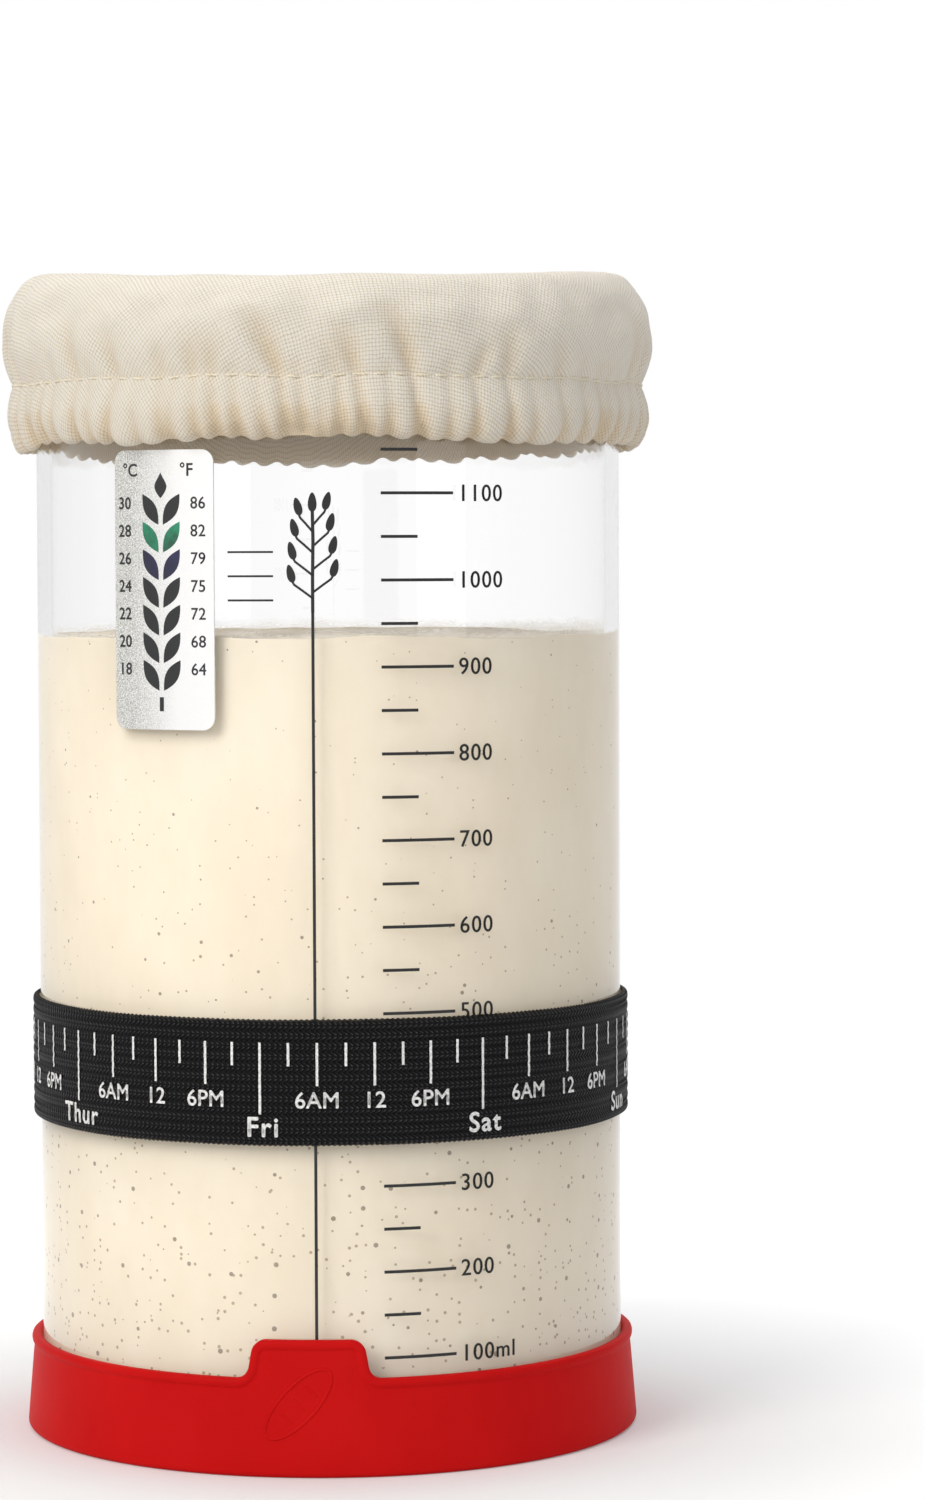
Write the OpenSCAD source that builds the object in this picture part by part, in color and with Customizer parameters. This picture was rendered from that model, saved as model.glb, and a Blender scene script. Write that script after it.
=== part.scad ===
// Sourdough starter jar: a straight glass jar in a silicone boot, with a gathered cloth cover,
// a knitted marker band and a stick-on crystal thermometer. All sizes are in millimetres.
// The origin is the centre of the boot's underside, +Z is up and the front faces -Y.
// Angles round the jar are measured from the front, positive towards +X.

/* [Glass jar] */
// Outer diameter of the glass
jar_d = 100; // [80:1:120]
// Height of the glass from its foot to its rim
jar_h = 190; // [170:1:220]
// Thickness of the glass wall
jar_wall = 2.4; // [1.8:0.1:3.6]
// Thickness of the glass base
jar_base = 2.6; // [2.2:0.1:6]
// Outer radius of the heel, where the wall turns into the base
heel_r = 5; // [3:0.5:8]
// Inner radius between the wall and the base
bowl_r = 5; // [3:0.5:9]
// Depth of the push-up under the base
push_up = 0.6; // [0.3:0.1:1]

/* [Printed scale] */
// Thickness of the fired ink
ink_t = 0.1; // [0.05:0.01:0.15]
// Width of the printed lines
ink_w = 0.5; // [0.3:0.1:0.9]
// Highest mark of the volume scale, in millilitres
scale_top_ml = 1200; // [800:50:1200]
// Angle where the volume scale starts
scale_angle = 12.7; // [8:0.1:20]
// Length of a mark that has a number
major_len = 12.3; // [9:0.1:16]
// Length of a mark that has none
minor_len = 6.1; // [3:0.1:8]
// Height of the top of the level line above the ground
level_line_top = 140.6; // [100:0.1:160]
// How far the level line runs down behind the boot's tab
level_line_hidden = 2.8; // [1:0.1:4]

/* [Starter] */
// Depth of the starter in the middle of the jar
starter_depth = 132.2; // [60:0.1:140]
// Rise of the starter's top from the glass to the middle
dome_rise = 1.6; // [0.5:0.1:4]

/* [Silicone boot] */
// Thickness of the boot's floor
boot_floor = 2.2; // [1:0.1:4]
// Thickness of the boot's wall just under its bead
boot_wall = 1.35; // [1:0.05:3]
// Height of the boot's wall
boot_h = 16; // [13:0.1:17]
// How far the foot flares out past the top of the wall
foot_flare = 1.1; // [0.4:0.1:3]
// Radial clearance between the boot and the printed glass
boot_fit = 0.1; // [0.05:0.01:0.3]
// Height of the bead along the boot's top edge
bead_h = 1.7; // [1:0.1:2]
// How far the bead stands out from the wall
bead_out = 0.35; // [0.2:0.05:0.8]
// How far the front tab stands above the wall
tab_rise = 6.4; // [5:0.1:9]
// Width of the tab at its top
tab_w = 17.6; // [14:0.1:26]
// Lean of the tab's sides, in degrees
tab_lean = 10; // [4:1:16]
// Angle that the boot is turned by on the jar
boot_turn = -1.5; // [-10:0.5:10]
// Length of the raised thumb pad under the tab
pad_len = 11; // [6:0.5:15]
// Height of the raised thumb pad
pad_w = 5; // [3:0.5:6]
// How far the thumb pad stands out
pad_out = 0.3; // [0.2:0.05:0.4]

/* [Marker band] */
// Width of the elastic webbing
band_w = 20.5; // [14:0.5:24]
// Thickness of the elastic webbing
band_t = 1.05; // [0.9:0.05:1.4]
// Height of the band's middle above the ground
band_z = 64.2; // [50:0.1:75]
// Radial clearance between the band and the printed glass
band_fit = 0.1; // [0.05:0.01:0.3]
// Number of knitted ribs, each over one rubber strand
rib_count = 12; // [10:1:16]
// Diameter of a rubber strand
strand_d = 0.5; // [0.3:0.05:0.6]
// Angle of the sewn lap
lap_angle = 147; // [120:1:170]
// Length of the sewn lap
lap_len = 12; // [8:0.5:20]

/* [Thermometer] */
// Width of the thermometer card
card_w = 19.4; // [16:0.1:24]
// Height of the thermometer card
card_h = 45.5; // [44:0.5:50]
// Thickness of the thermometer card
card_t = 0.35; // [0.25:0.05:0.5]
// Thickness of the adhesive under the card
glue_t = 0.15; // [0.1:0.05:0.3]
// Corner radius of the card
card_corner = 2.1; // [1:0.1:4]
// Gap between the hem of the cover and the card's upper edge
card_gap = 1; // [0.5:0.1:10]
// Angle of the card's middle
card_angle = -29.5; // [-60:0.5:-25]
// Number of temperature rows
row_count = 7; // [5:1:7]
// Distance between two rows
row_pitch = 4.5; // [4.3:0.1:4.8]
// Height of the lowest row's middle above the card's lower edge
row_foot = 8.6; // [8:0.1:10]
// Length of a crystal cell
cell_len = 5.6; // [4:0.1:5.8]
// Width of a crystal cell
cell_w = 2.2; // [1.6:0.1:2.4]

/* [Cloth cover] */
// Height of the cover from its hem to the top of its puff
cover_h = 29; // [26:0.1:34]
// How far the cloth puffs up above the rim
crown = 4.2; // [2:0.1:6]
// Height of the sewn casing that holds the elastic
casing_h = 10.5; // [8:0.1:11]
// Thickness of the cloth
cloth_t = 0.4; // [0.3:0.05:0.6]
// Number of main folds round the cover
fold_count = 18; // [16:1:30]
// Depth of the folds at the hem
fold_depth = 1.3; // [0.6:0.1:2]
// How far the skirt puffs out past the glass
puff = 5; // [4:0.1:7]
// How far the gathered casing stands out past the glass
ruffle = 4.6; // [3.9:0.1:6]
// Width of the elastic in the casing
elastic_w = 7; // [4:0.5:7]
// Thickness of the elastic in the casing
elastic_t = 0.7; // [0.5:0.1:1]
// Clearance between the cover and the glass
cover_fit = 0.35; // [0.3:0.05:0.6]

/* [Hidden] */
$fn = 96;
reach = 200;

// The glass
jar_r = jar_d / 2;
bore_r = jar_r - jar_wall;
printed_r = jar_r + ink_t;
jar_foot_z = boot_floor;
rim_z = jar_foot_z + jar_h;
bore_foot_z = jar_foot_z + jar_base;
push_up_r = jar_r - heel_r - 4;
push_up_slope = 2;

// The volume scale is worked out from the bore, so that it reads true
first_mark_ml = 100;
mark_step_ml = 50;
number_step_ml = 100;
rim_margin = 15;
bore_area = PI * pow(bore_r, 2);
bowl_corner_area = (1 - PI / 4) * pow(bowl_r, 2);
bowl_corner_r = bore_r - 0.2234 * bowl_r;
bowl_loss = 2 * PI * bowl_corner_r * bowl_corner_area;
function level_z(ml) = bore_foot_z + (1000 * ml + bowl_loss) / bore_area;
function arc_angle(len, r) = len / r * 180 / PI;

// The starter
starter_gap = 0.05;
starter_r = bore_r - starter_gap;
starter_edge_r = 6;

// The boot
boot_in_r = printed_r + boot_fit;
boot_out_r = boot_in_r + boot_wall;
boot_mid_r = boot_out_r - boot_wall / 2;
foot_r = boot_out_r + foot_flare;
foot_round = 1;
bead_r = boot_out_r + bead_out;
bead_foot_z = boot_h - bead_h;
boot_seat_r = heel_r - 1;
tab_top_z = boot_h + tab_rise;
tab_corner_r = 2.6;
tab_root_r = 2.2;
pad_z = boot_h / 2;

// The band
band_in_r = printed_r + band_fit;
band_out_r = band_in_r + band_t;
rib_pitch = band_w / rib_count;
rib_depth = 0.2;
rib_crest = 0.45;
strand_fit = 0.05;
strand_r = band_in_r + strand_fit + strand_d / 2;
groove_w = strand_d + 2 * strand_fit;
lap_edge = 0.6;

// The cover, from the inside out: turned hem, elastic, casing and skirt
cover_in_z = rim_z + cover_fit;
cover_top_z = cover_in_z + crown;
hem_z = cover_top_z - cover_h;
seam_z = hem_z + casing_h;
hem_in_r = printed_r + cover_fit;
hem_round = 0.9;
elastic_in_r = hem_in_r + cloth_t + 0.1;
pocket_r = elastic_in_r + elastic_t + 0.1;
elastic_z = (hem_z + hem_round + seam_z - cloth_t) / 2;
pocket_top_z = elastic_z + elastic_w / 2 + 0.2;
casing_r = jar_r + ruffle;
puff_r = jar_r + puff;
puff_z = seam_z + 0.45 * (cover_top_z - seam_z);
shoulder_z = (puff_z + cover_top_z) / 2;
cover_steps = 4 * fold_count;

// The thermometer hangs just under the hem of the cover
glue_out_r = jar_r + glue_t;
card_out_r = glue_out_r + card_t;
card_z = hem_z - card_gap - card_h / 2;
glue_margin = 0.6;
cell_fit = 0.05;
cell_sink = 0.05;
cell_tilt = 37;
cell_side = 2.1;
tip_rise = 3.9;
tip_len = 4;
tip_w = 2.7;
stem_drop = 5.6;
stem_len = 2.3;
stem_w = 0.8;

// Points along an arc about c, for outlines that are revolved or extruded
function arc(c, r, from, to, steps = 6) =
    [for (i = [0:steps]) let (a = from + (to - from) * i / steps) c + r * [cos(a), sin(a)]];

// Turns a part that was drawn along +X so that it faces the given angle
module face_to(angle) {
    rotate([0, 0, angle - 90]) children();
}

// A plain ring about the jar's axis
module ring(r0, r1, z, height) {
    translate([0, 0, z])
        rotate_extrude()
            translate([r0, 0])
                square([r1 - r0, height]);
}

// A curved strip on the jar, centred on +X, that spans an angle
module wall_strip(r0, r1, z, height, span) {
    translate([0, 0, z])
        rotate([0, 0, -span / 2])
            rotate_extrude(angle = span)
                translate([r0, 0])
                    square([r1 - r0, height]);
}

// A prism that cuts through the wall in front of +X, from an outline in width and height
module through_wall() {
    rotate([90, 0, 90])
        linear_extrude(reach)
            children();
}

// The glass jar: fire-polished rim, rounded heel and a shallow push-up
module glass_jar() {
    rim_r = jar_wall / 2;
    color([0.86, 0.93, 0.92, 0.35])
        translate([0, 0, jar_foot_z])
            rotate_extrude()
                polygon(concat(
                    [[0, push_up], [push_up_r, push_up], [push_up_r + push_up_slope, 0]],
                    arc([jar_r - heel_r, heel_r], heel_r, -90, 0),
                    arc([jar_r - rim_r, jar_h - rim_r], rim_r, 0, 180, 8),
                    arc([bore_r - bowl_r, jar_base + bowl_r], bowl_r, 0, -90),
                    [[0, jar_base]]
                ));
}

// The starter fills the bore from its foot, with a low dome that rounds off at the glass
module sourdough_starter() {
    foot = bore_foot_z + starter_gap;
    top = bore_foot_z + starter_depth;
    edge_z = top - dome_rise;
    color([0.93, 0.87, 0.76])
        rotate_extrude()
            polygon(concat(
                [[0, foot]],
                arc([starter_r - bowl_r, foot + bowl_r], bowl_r, -90, 0),
                [for (a = [0 : 15 : 90])
                    [starter_r - starter_edge_r * (1 - cos(a)), edge_z + dome_rise / 2 * sin(a)]],
                [[starter_r / 2, top - dome_rise / 8], [0, top]]
            ));
}

// One printed mark of the volume scale, longer where it has a number
module scale_mark(ml) {
    numbered = ml % number_step_ml == 0;
    span = arc_angle(numbered ? major_len : minor_len, jar_r);
    face_to(scale_angle + span / 2)
        wall_strip(jar_r, printed_r, level_z(ml) - ink_w / 2, ink_w, span);
}

// The volume scale stops short of the rim
module volume_scale() {
    color([0.05, 0.05, 0.05])
        for (ml = [first_mark_ml : mark_step_ml : scale_top_ml])
            if (level_z(ml) < rim_z - rim_margin)
                scale_mark(ml);
}

// The long upright line that the band's day and hour are read against
module level_line() {
    foot = tab_top_z - level_line_hidden;
    color([0.05, 0.05, 0.05])
        face_to(0)
            wall_strip(jar_r, printed_r, foot, level_line_top - foot, arc_angle(ink_w, jar_r));
}

// Outline of the boot's tab, drawn in by a margin; width runs along x and height along y
module tab_outline(inset) {
    corner = [tab_w / 2 - tab_corner_r, tab_top_z - tab_corner_r];
    side = corner + tab_corner_r * [cos(tab_lean), sin(tab_lean)];
    root_y = boot_h + tab_root_r;
    root_x = side[0] + (tab_root_r - (root_y - side[1]) * sin(tab_lean)) / cos(tab_lean);
    half = concat(
        arc(corner, tab_corner_r - inset, 90, tab_lean),
        arc([root_x, root_y], tab_root_r + inset, 180 + tab_lean, 270),
        [[root_x, boot_h / 2]]
    );
    other = [for (i = [len(half) - 1 : -1 : 0]) [-half[i][0], half[i][1]]];
    polygon(concat(half, other));
}

// Everything under the boot's top edge and its tab, drawn in by a margin
module under_edge(inset) {
    cylinder(r = reach, h = boot_h - inset);
    through_wall() tab_outline(inset);
}

// The cup of the boot: rounded foot, tapered wall and a seat for the jar's heel
module boot_cup() {
    rotate_extrude()
        polygon(concat(
            [[0, 0]],
            arc([foot_r - foot_round, foot_round], foot_round, -90, 0),
            [[boot_out_r, bead_foot_z], [boot_out_r, boot_h], [boot_in_r, boot_h]],
            arc([boot_in_r - boot_seat_r, boot_floor + boot_seat_r], boot_seat_r, 0, -90),
            [[0, boot_floor]]
        ));
}

// The rounded tab that the boot is pulled off by
module boot_tab() {
    intersection() {
        ring(boot_in_r, boot_out_r, bead_foot_z, tab_top_z);
        through_wall() tab_outline(0);
    }
}

// The raised bead that runs along the edge and up round the tab
module edge_bead() {
    difference() {
        intersection() {
            ring(boot_mid_r, bead_r, bead_foot_z, tab_top_z);
            under_edge(0);
        }
        under_edge(bead_h);
    }
}

// A plain raised pad with round ends, where the thumb presses
module thumb_pad() {
    flat = pad_len - pad_w;
    intersection() {
        rotate_extrude()
            polygon([
                [boot_mid_r, foot_round],
                [foot_r + pad_out, foot_round],
                [boot_out_r + pad_out, bead_foot_z],
                [boot_mid_r, bead_foot_z]
            ]);
        through_wall()
            polygon(concat(
                arc([flat / 2, pad_z], pad_w / 2, -90, 90, 10),
                arc([-flat / 2, pad_z], pad_w / 2, 90, 270, 10)
            ));
    }
}

module silicone_boot() {
    color([0.80, 0.07, 0.07])
        face_to(boot_turn) {
            boot_cup();
            boot_tab();
            edge_bead();
            thumb_pad();
        }
}

// Section of the webbing: round ribs outside, a groove for each strand inside
module webbing_section() {
    function rib_z(i) = (i + 0.5) * rib_pitch;
    ribs = [for (i = [0 : rib_count - 1]) each [
        [band_out_r - rib_depth, rib_z(i) - rib_pitch / 2],
        [band_out_r, rib_z(i) - rib_pitch * rib_crest / 2],
        [band_out_r, rib_z(i) + rib_pitch * rib_crest / 2]
    ]];
    grooves = [for (i = [rib_count - 1 : -1 : 0]) each [
        [band_in_r, rib_z(i) + groove_w / 2],
        [band_in_r + groove_w, rib_z(i) + groove_w / 2],
        [band_in_r + groove_w, rib_z(i) - groove_w / 2],
        [band_in_r, rib_z(i) - groove_w / 2]
    ]];
    polygon(concat(
        [[band_in_r, 0]],
        ribs,
        [[band_out_r - rib_depth, band_w], [band_in_r, band_w]],
        grooves
    ));
}

// The knitted elastic band, with its ends lapped and sewn at the back
module band_webbing() {
    color([0.07, 0.07, 0.08])
        translate([0, 0, band_z - band_w / 2]) {
            rotate_extrude() webbing_section();
            face_to(lap_angle)
                wall_strip(band_out_r - 2 * rib_depth, band_out_r + band_t - rib_depth,
                    lap_edge, band_w - 2 * lap_edge, arc_angle(lap_len, band_out_r));
        }
}

// The rubber strands inside the webbing, one under each rib
module band_strands() {
    color([0.75, 0.66, 0.50])
        for (i = [0 : rib_count - 1])
            translate([0, 0, band_z - band_w / 2 + (i + 0.5) * rib_pitch])
                rotate_extrude()
                    translate([strand_r, 0])
                        circle(d = strand_d, $fn = 24);
}

// A card with round corners, drawn in by a margin
module card_outline(inset) {
    w = card_w / 2 - card_corner;
    h = card_h / 2 - card_corner;
    r = card_corner - inset;
    polygon(concat(
        arc([w, h], r, 0, 90), arc([-w, h], r, 90, 180),
        arc([-w, -h], r, 180, 270), arc([w, -h], r, 270, 360)
    ));
}

// A pointed oval, upright and centred, grown by a margin
module leaf(length, width, grow) {
    side_r = (pow(length, 2) + pow(width, 2)) / (4 * width);
    side_x = side_r - width / 2;
    half = asin(length / 2 / side_r);
    scale(1 + 2 * grow / width)
        polygon(concat(
            arc([-side_x, 0], side_r, -half, half, 8),
            arc([side_x, 0], side_r, 180 - half, 180 + half, 8)
        ));
}

// The crystal cells: a pair of leaves to each row, a tip above and a stem below
module cell_outlines(grow) {
    first = row_foot - card_h / 2;
    last = first + (row_count - 1) * row_pitch;
    for (i = [0 : row_count - 1], side = [-1, 1])
        translate([side * cell_side, first + i * row_pitch])
            rotate(-side * cell_tilt)
                leaf(cell_len, cell_w, grow);
    translate([0, last + tip_rise])
        leaf(tip_len, tip_w, grow);
    translate([-stem_w / 2 - grow, first - stem_drop - grow])
        square([stem_w + 2 * grow, stem_len + 2 * grow]);
}

// A layer of the thermometer: the part of a ring on the glass behind a flat outline
module card_layer(r0, r1) {
    translate([0, 0, card_z])
        face_to(card_angle)
            intersection() {
                ring(r0, r1, -card_h, 2 * card_h);
                through_wall() children();
            }
}

module thermometer_adhesive() {
    color([0.85, 0.85, 0.82])
        card_layer(jar_r, glue_out_r) card_outline(glue_margin);
}

module thermometer_card() {
    color([0.78, 0.79, 0.78])
        card_layer(glue_out_r, card_out_r)
            difference() {
                card_outline(0);
                cell_outlines(cell_fit);
            }
}

module thermometer_cells() {
    color([0.10, 0.12, 0.13])
        card_layer(glue_out_r, card_out_r - cell_sink) cell_outlines(0);
}

// How far the folds swing at an angle, from -1 to 1, uneven as hand gathers are
function fold_wave(a) =
    0.62 * cos(fold_count * a) + 0.23 * cos((fold_count - 7) * a + 50) + 0.15 * cos(5 * a + 20);

// One ring of the cover, which the folds move in and out by swing and up and down by lift
function cover_ring(r, z, swing = 0, lift = 0) =
    [for (i = [0 : cover_steps - 1]) let (a = 360 * i / cover_steps, w = fold_wave(a))
        [(r + swing * w) * cos(a), (r + swing * w) * sin(a), z + lift * w]];

// The gathered cloth cover, as one skin: out over the shoulder, down the folds to the hem,
// up inside the elastic as the turned hem, down again, and back up inside the casing
module cloth_cover() {
    rings = [
        cover_ring(jar_r - 3, cover_top_z, 0.2, 0.15),
        cover_ring(puff_r - 2.8, cover_top_z - 1.6, 0.25),
        cover_ring(puff_r - 0.9, shoulder_z, 0.3),
        cover_ring(puff_r, puff_z, 0.5 * fold_depth),
        cover_ring(pocket_r + cloth_t + 1, seam_z, 0.4 * fold_depth),
        cover_ring(casing_r, hem_z + 0.45 * casing_h, 0.8 * fold_depth),
        cover_ring(casing_r - 0.2, hem_z + hem_round, fold_depth, 0.3),
        cover_ring(hem_in_r + cloth_t / 2, hem_z),
        cover_ring(hem_in_r, hem_z + cloth_t),
        cover_ring(hem_in_r, pocket_top_z),
        cover_ring(hem_in_r + cloth_t, pocket_top_z),
        cover_ring(hem_in_r + cloth_t, hem_z + hem_round),
        cover_ring(pocket_r, hem_z + hem_round),
        cover_ring(pocket_r, pocket_top_z),
        cover_ring(puff_r - 0.5 * fold_depth - cloth_t, puff_z),
        cover_ring(puff_r - 3.3, cover_top_z - 1.6 - cloth_t),
        cover_ring(jar_r - 3, cover_top_z - 0.2 - cloth_t)
    ];
    n = cover_steps;
    last_ring = len(rings) - 1;
    function at(ring, i) = 1 + ring * n + i % n;
    top = 0;
    under = at(last_ring, n - 1) + 1;
    sides = [for (k = [0 : last_ring - 1], i = [0 : n - 1]) each [
        [at(k, i), at(k, i + 1), at(k + 1, i + 1)],
        [at(k, i), at(k + 1, i + 1), at(k + 1, i)]
    ]];
    ends = [for (i = [0 : n - 1]) each [
        [top, at(0, i + 1), at(0, i)],
        [under, at(last_ring, i), at(last_ring, i + 1)]
    ]];
    points = concat([[0, 0, cover_in_z + cloth_t]], [for (ring = rings) each ring],
        [[0, 0, cover_in_z]]);
    color([0.93, 0.90, 0.82])
        polyhedron(points = points, faces = concat(sides, ends), convexity = 6);
}

// The elastic in the casing, which draws the skirt in against the glass
module cover_elastic() {
    color([0.92, 0.92, 0.90])
        ring(elastic_in_r, elastic_in_r + elastic_t, elastic_z - elastic_w / 2, elastic_w);
}

silicone_boot();
glass_jar();
sourdough_starter();
volume_scale();
level_line();
thermometer_adhesive();
thermometer_card();
thermometer_cells();
band_strands();
band_webbing();
cloth_cover();
cover_elastic();
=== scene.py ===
"""Sourdough starter jar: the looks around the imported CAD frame.

The builders below work in millimetres and new_piece() turns them into metres.
Angles round the jar are in degrees from the front (-Y), positive towards +X.
"""
import math
import random

import bmesh
import bpy
import numpy as np
from mathutils import Matrix, Vector, noise


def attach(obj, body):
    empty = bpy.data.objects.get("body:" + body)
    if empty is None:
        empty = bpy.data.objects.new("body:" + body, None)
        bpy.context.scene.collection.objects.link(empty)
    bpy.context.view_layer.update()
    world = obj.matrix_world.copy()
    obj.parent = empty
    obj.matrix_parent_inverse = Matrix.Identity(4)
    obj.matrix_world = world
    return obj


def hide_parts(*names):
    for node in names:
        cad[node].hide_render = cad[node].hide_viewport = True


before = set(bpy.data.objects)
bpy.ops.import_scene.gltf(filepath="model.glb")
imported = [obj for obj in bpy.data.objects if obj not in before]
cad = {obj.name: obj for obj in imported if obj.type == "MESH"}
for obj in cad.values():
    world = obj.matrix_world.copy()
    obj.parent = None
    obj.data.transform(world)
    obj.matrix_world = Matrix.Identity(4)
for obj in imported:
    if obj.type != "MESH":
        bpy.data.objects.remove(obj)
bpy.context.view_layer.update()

# Sizes of the real object, the same as in the CAD part
MM = 0.001
JAR_R = 50.0
BORE_R = 47.6
JAR_FOOT = 2.2
RIM_Z = 192.2
BORE_FOOT = 4.8
STARTER_TOP = 137.0
BOOT_H = 16.0
TAB_RISE = 6.4
BOOT_IN = 50.2
BOOT_OUT = 51.55
FOOT_R = 52.65
BEAD_H = 1.7
BOOT_TURN = -1.5
BAND_IN = 50.2
BAND_OUT = 51.25
BAND_FOOT = 53.95
BAND_W = 20.5
RIBS = 12
CARD_ANGLE = -29.7
CARD_Z = 144.0
CARD_W = 19.4
CARD_H = 45.5
ROW_FOOT = 8.6
CARD_IN = 50.15
CARD_OUT = 50.5
ROW_RISE = 4.5
LAP_ANGLE = 147
LAP_OUT = BAND_OUT + 0.85
RIB_RISE = BAND_W / RIBS


# Helpers

def linear(code):
    """A maker's sRGB colour code as linear RGBA."""
    out = []
    for i in (0, 2, 4):
        c = int(code.lstrip("#")[i:i + 2], 16) / 255
        out.append(c / 12.92 if c <= 0.04045 else ((c + 0.055) / 1.055) ** 2.4)
    return (*out, 1.0)


def put(tree, kind, inputs=None, **settings):
    """Adds a shader node. An input is a plain value, or the output that feeds it."""
    node = tree.nodes.new("ShaderNode" + kind)
    for name, value in settings.items():
        setattr(node, name, value)
    for name, value in (inputs or {}).items():
        socket = node.inputs[name]
        if isinstance(value, bpy.types.NodeSocket):
            tree.links.new(value, socket)
        else:
            socket.default_value = value
    return node


def calc(tree, operation, a, b=0.0, clamp=False):
    """One step of arithmetic between shader values."""
    return put(tree, "Math", {0: a, 1: b}, operation=operation, use_clamp=clamp).outputs[0]


def ramp(tree, value, stops):
    """A colour ramp through (position, colour) stops."""
    node = put(tree, "ValToRGB", {"Fac": value})
    band = node.color_ramp
    while len(band.elements) < len(stops):
        band.elements.new(0.5)
    for element, (position, colour) in zip(band.elements, stops):
        element.position = position
        element.color = colour
    return node.outputs["Color"]


def grey(value):
    """A neutral colour for ramps that carry a mask."""
    return (value, value, value, 1.0)


def mix(tree, factor, a, b, blend="MIX"):
    """Mixes two colours."""
    node = put(tree, "Mix", data_type="RGBA", blend_type=blend)
    for socket, value in ((node.inputs[0], factor), (node.inputs[6], a), (node.inputs[7], b)):
        if isinstance(value, bpy.types.NodeSocket):
            tree.links.new(value, socket)
        else:
            socket.default_value = value
    return node.outputs[2]


def new_material(name):
    """An empty node material and its tree."""
    made = bpy.data.materials.new(name)
    made.use_nodes = True
    made.node_tree.nodes.clear()
    return made, made.node_tree


def output(tree, shader):
    """Joins the last shader to the material's output."""
    put(tree, "OutputMaterial", {"Surface": shader.outputs[0]})


def object_noise(tree, scale, detail=3.0, rough=0.55, stretch=(1, 1, 1)):
    """Noise in object space; scale counts its cells to the metre."""
    where = put(tree, "TexCoord").outputs["Object"]
    placed = put(tree, "Mapping", {"Vector": where, "Scale": stretch}).outputs[0]
    return put(tree, "TexNoise", {"Vector": placed, "Scale": scale, "Detail": detail,
                                  "Roughness": rough}).outputs[0]


def bump(tree, height, depth_mm, strength=1.0, after=None):
    """A bump of a real depth in millimetres."""
    inputs = {"Height": height, "Strength": strength, "Distance": depth_mm * MM}
    if after is not None:
        inputs["Normal"] = after
    return put(tree, "Bump", inputs).outputs[0]


def new_piece(name, bm, made_of, body, replaces=(), sharp=35.0, recalc=True):
    """Turns a mesh drawn in millimetres into a piece that rides on a CAD body."""
    if recalc:
        bmesh.ops.recalc_face_normals(bm, faces=bm.faces)
    bmesh.ops.scale(bm, vec=(MM, MM, MM), verts=bm.verts)
    mesh = bpy.data.meshes.new(name)
    bm.to_mesh(mesh)
    bm.free()
    mesh.shade_smooth()
    mesh.set_sharp_from_angle(angle=math.radians(sharp))
    mesh.materials.append(made_of)
    obj = bpy.data.objects.new(name, mesh)
    bpy.context.scene.collection.objects.link(obj)
    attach(obj, body)
    if replaces:
        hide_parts(*replaces)
    return obj


def on_jar(angle, r, z):
    """The point at an angle from the front, a radius and a height."""
    a = math.radians(angle)
    return Vector((r * math.sin(a), -r * math.cos(a), z))


def skin(rows, close=True, uvs=None):
    """A mesh through rows of points with as many points each; close joins each row's ends."""
    bm = bmesh.new()
    grid = [[bm.verts.new(p) for p in row] for row in rows]
    layer = bm.loops.layers.uv.new("weave") if uvs else None
    n = len(grid[0])
    for j in range(len(grid) - 1):
        for i in range(n if close else n - 1):
            k = (i + 1) % n
            face = bm.faces.new((grid[j][i], grid[j][k], grid[j + 1][k], grid[j + 1][i]))
            if uvs:
                corners = ((j, i), (j, i + 1), (j + 1, i + 1), (j + 1, i))
                for loop, (row, column) in zip(face.loops, corners):
                    loop[layer].uv = uvs[row][column]
    return bm


def lathe(profile, segments=192):
    """Turns a profile of (r, z) points about the jar's axis; ends on the axis become one point."""
    bm = bmesh.new()
    line = [bm.verts.new(on_jar(0, r, z)) for r, z in profile]
    edges = [bm.edges.new(pair) for pair in zip(line, line[1:])]
    bmesh.ops.spin(bm, geom=line + edges, cent=(0, 0, 0), axis=(0, 0, 1), angle=2 * math.pi,
                   steps=segments, use_merge=True)
    bmesh.ops.remove_doubles(bm, verts=bm.verts, dist=1e-3)
    return bm


def arc(cx, cz, r, start, end, steps):
    """Points of an arc in a profile, by angles in degrees."""
    out = []
    for i in range(steps + 1):
        a = math.radians(start + (end - start) * i / steps)
        out.append((cx + r * math.cos(a), cz + r * math.sin(a)))
    return out


def flat_shape(bm, outline):
    """Adds a flat polygon from (x, y) points."""
    return bm.faces.new([bm.verts.new((x, y, 0)) for x, y in outline])


def stroke(bm, points, width):
    """Adds a flat line with round ends through (x, y) points."""
    pts = [Vector((x, y, 0)) for x, y in points]
    left, right = [], []
    for i, p in enumerate(pts):
        d = (pts[min(i + 1, len(pts) - 1)] - pts[max(i - 1, 0)]).normalized()
        side = Vector((-d.y, d.x, 0)) * (width / 2)
        left.append(p + side)
        right.append(p - side)

    def cap(end, d):
        side = Vector((-d.y, d.x, 0))
        return [end + (side * math.cos(a) + d * math.sin(a)) * (width / 2)
                for a in [math.pi * step / 6 for step in range(1, 6)]]

    outline = left + cap(pts[-1], (pts[-1] - pts[-2]).normalized())
    outline += right[::-1] + cap(pts[0], (pts[0] - pts[1]).normalized())
    return bm.faces.new([bm.verts.new(p) for p in outline])


def slice_flat(bm, axis, step):
    """Cuts flat work into strips, so that it bends smoothly round the jar."""
    normal = Vector((1, 0, 0)) if axis == 0 else Vector((0, 1, 0))
    low = min(v.co[axis] for v in bm.verts)
    high = max(v.co[axis] for v in bm.verts)
    at = math.floor(low / step) * step + step
    while at < high - 1e-6:
        geometry = bm.verts[:] + bm.edges[:] + bm.faces[:]
        bmesh.ops.bisect_plane(bm, geom=geometry, dist=1e-5, plane_co=normal * at, plane_no=normal)
        at += step
    bmesh.ops.triangulate(bm, faces=bm.faces[:])


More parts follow.
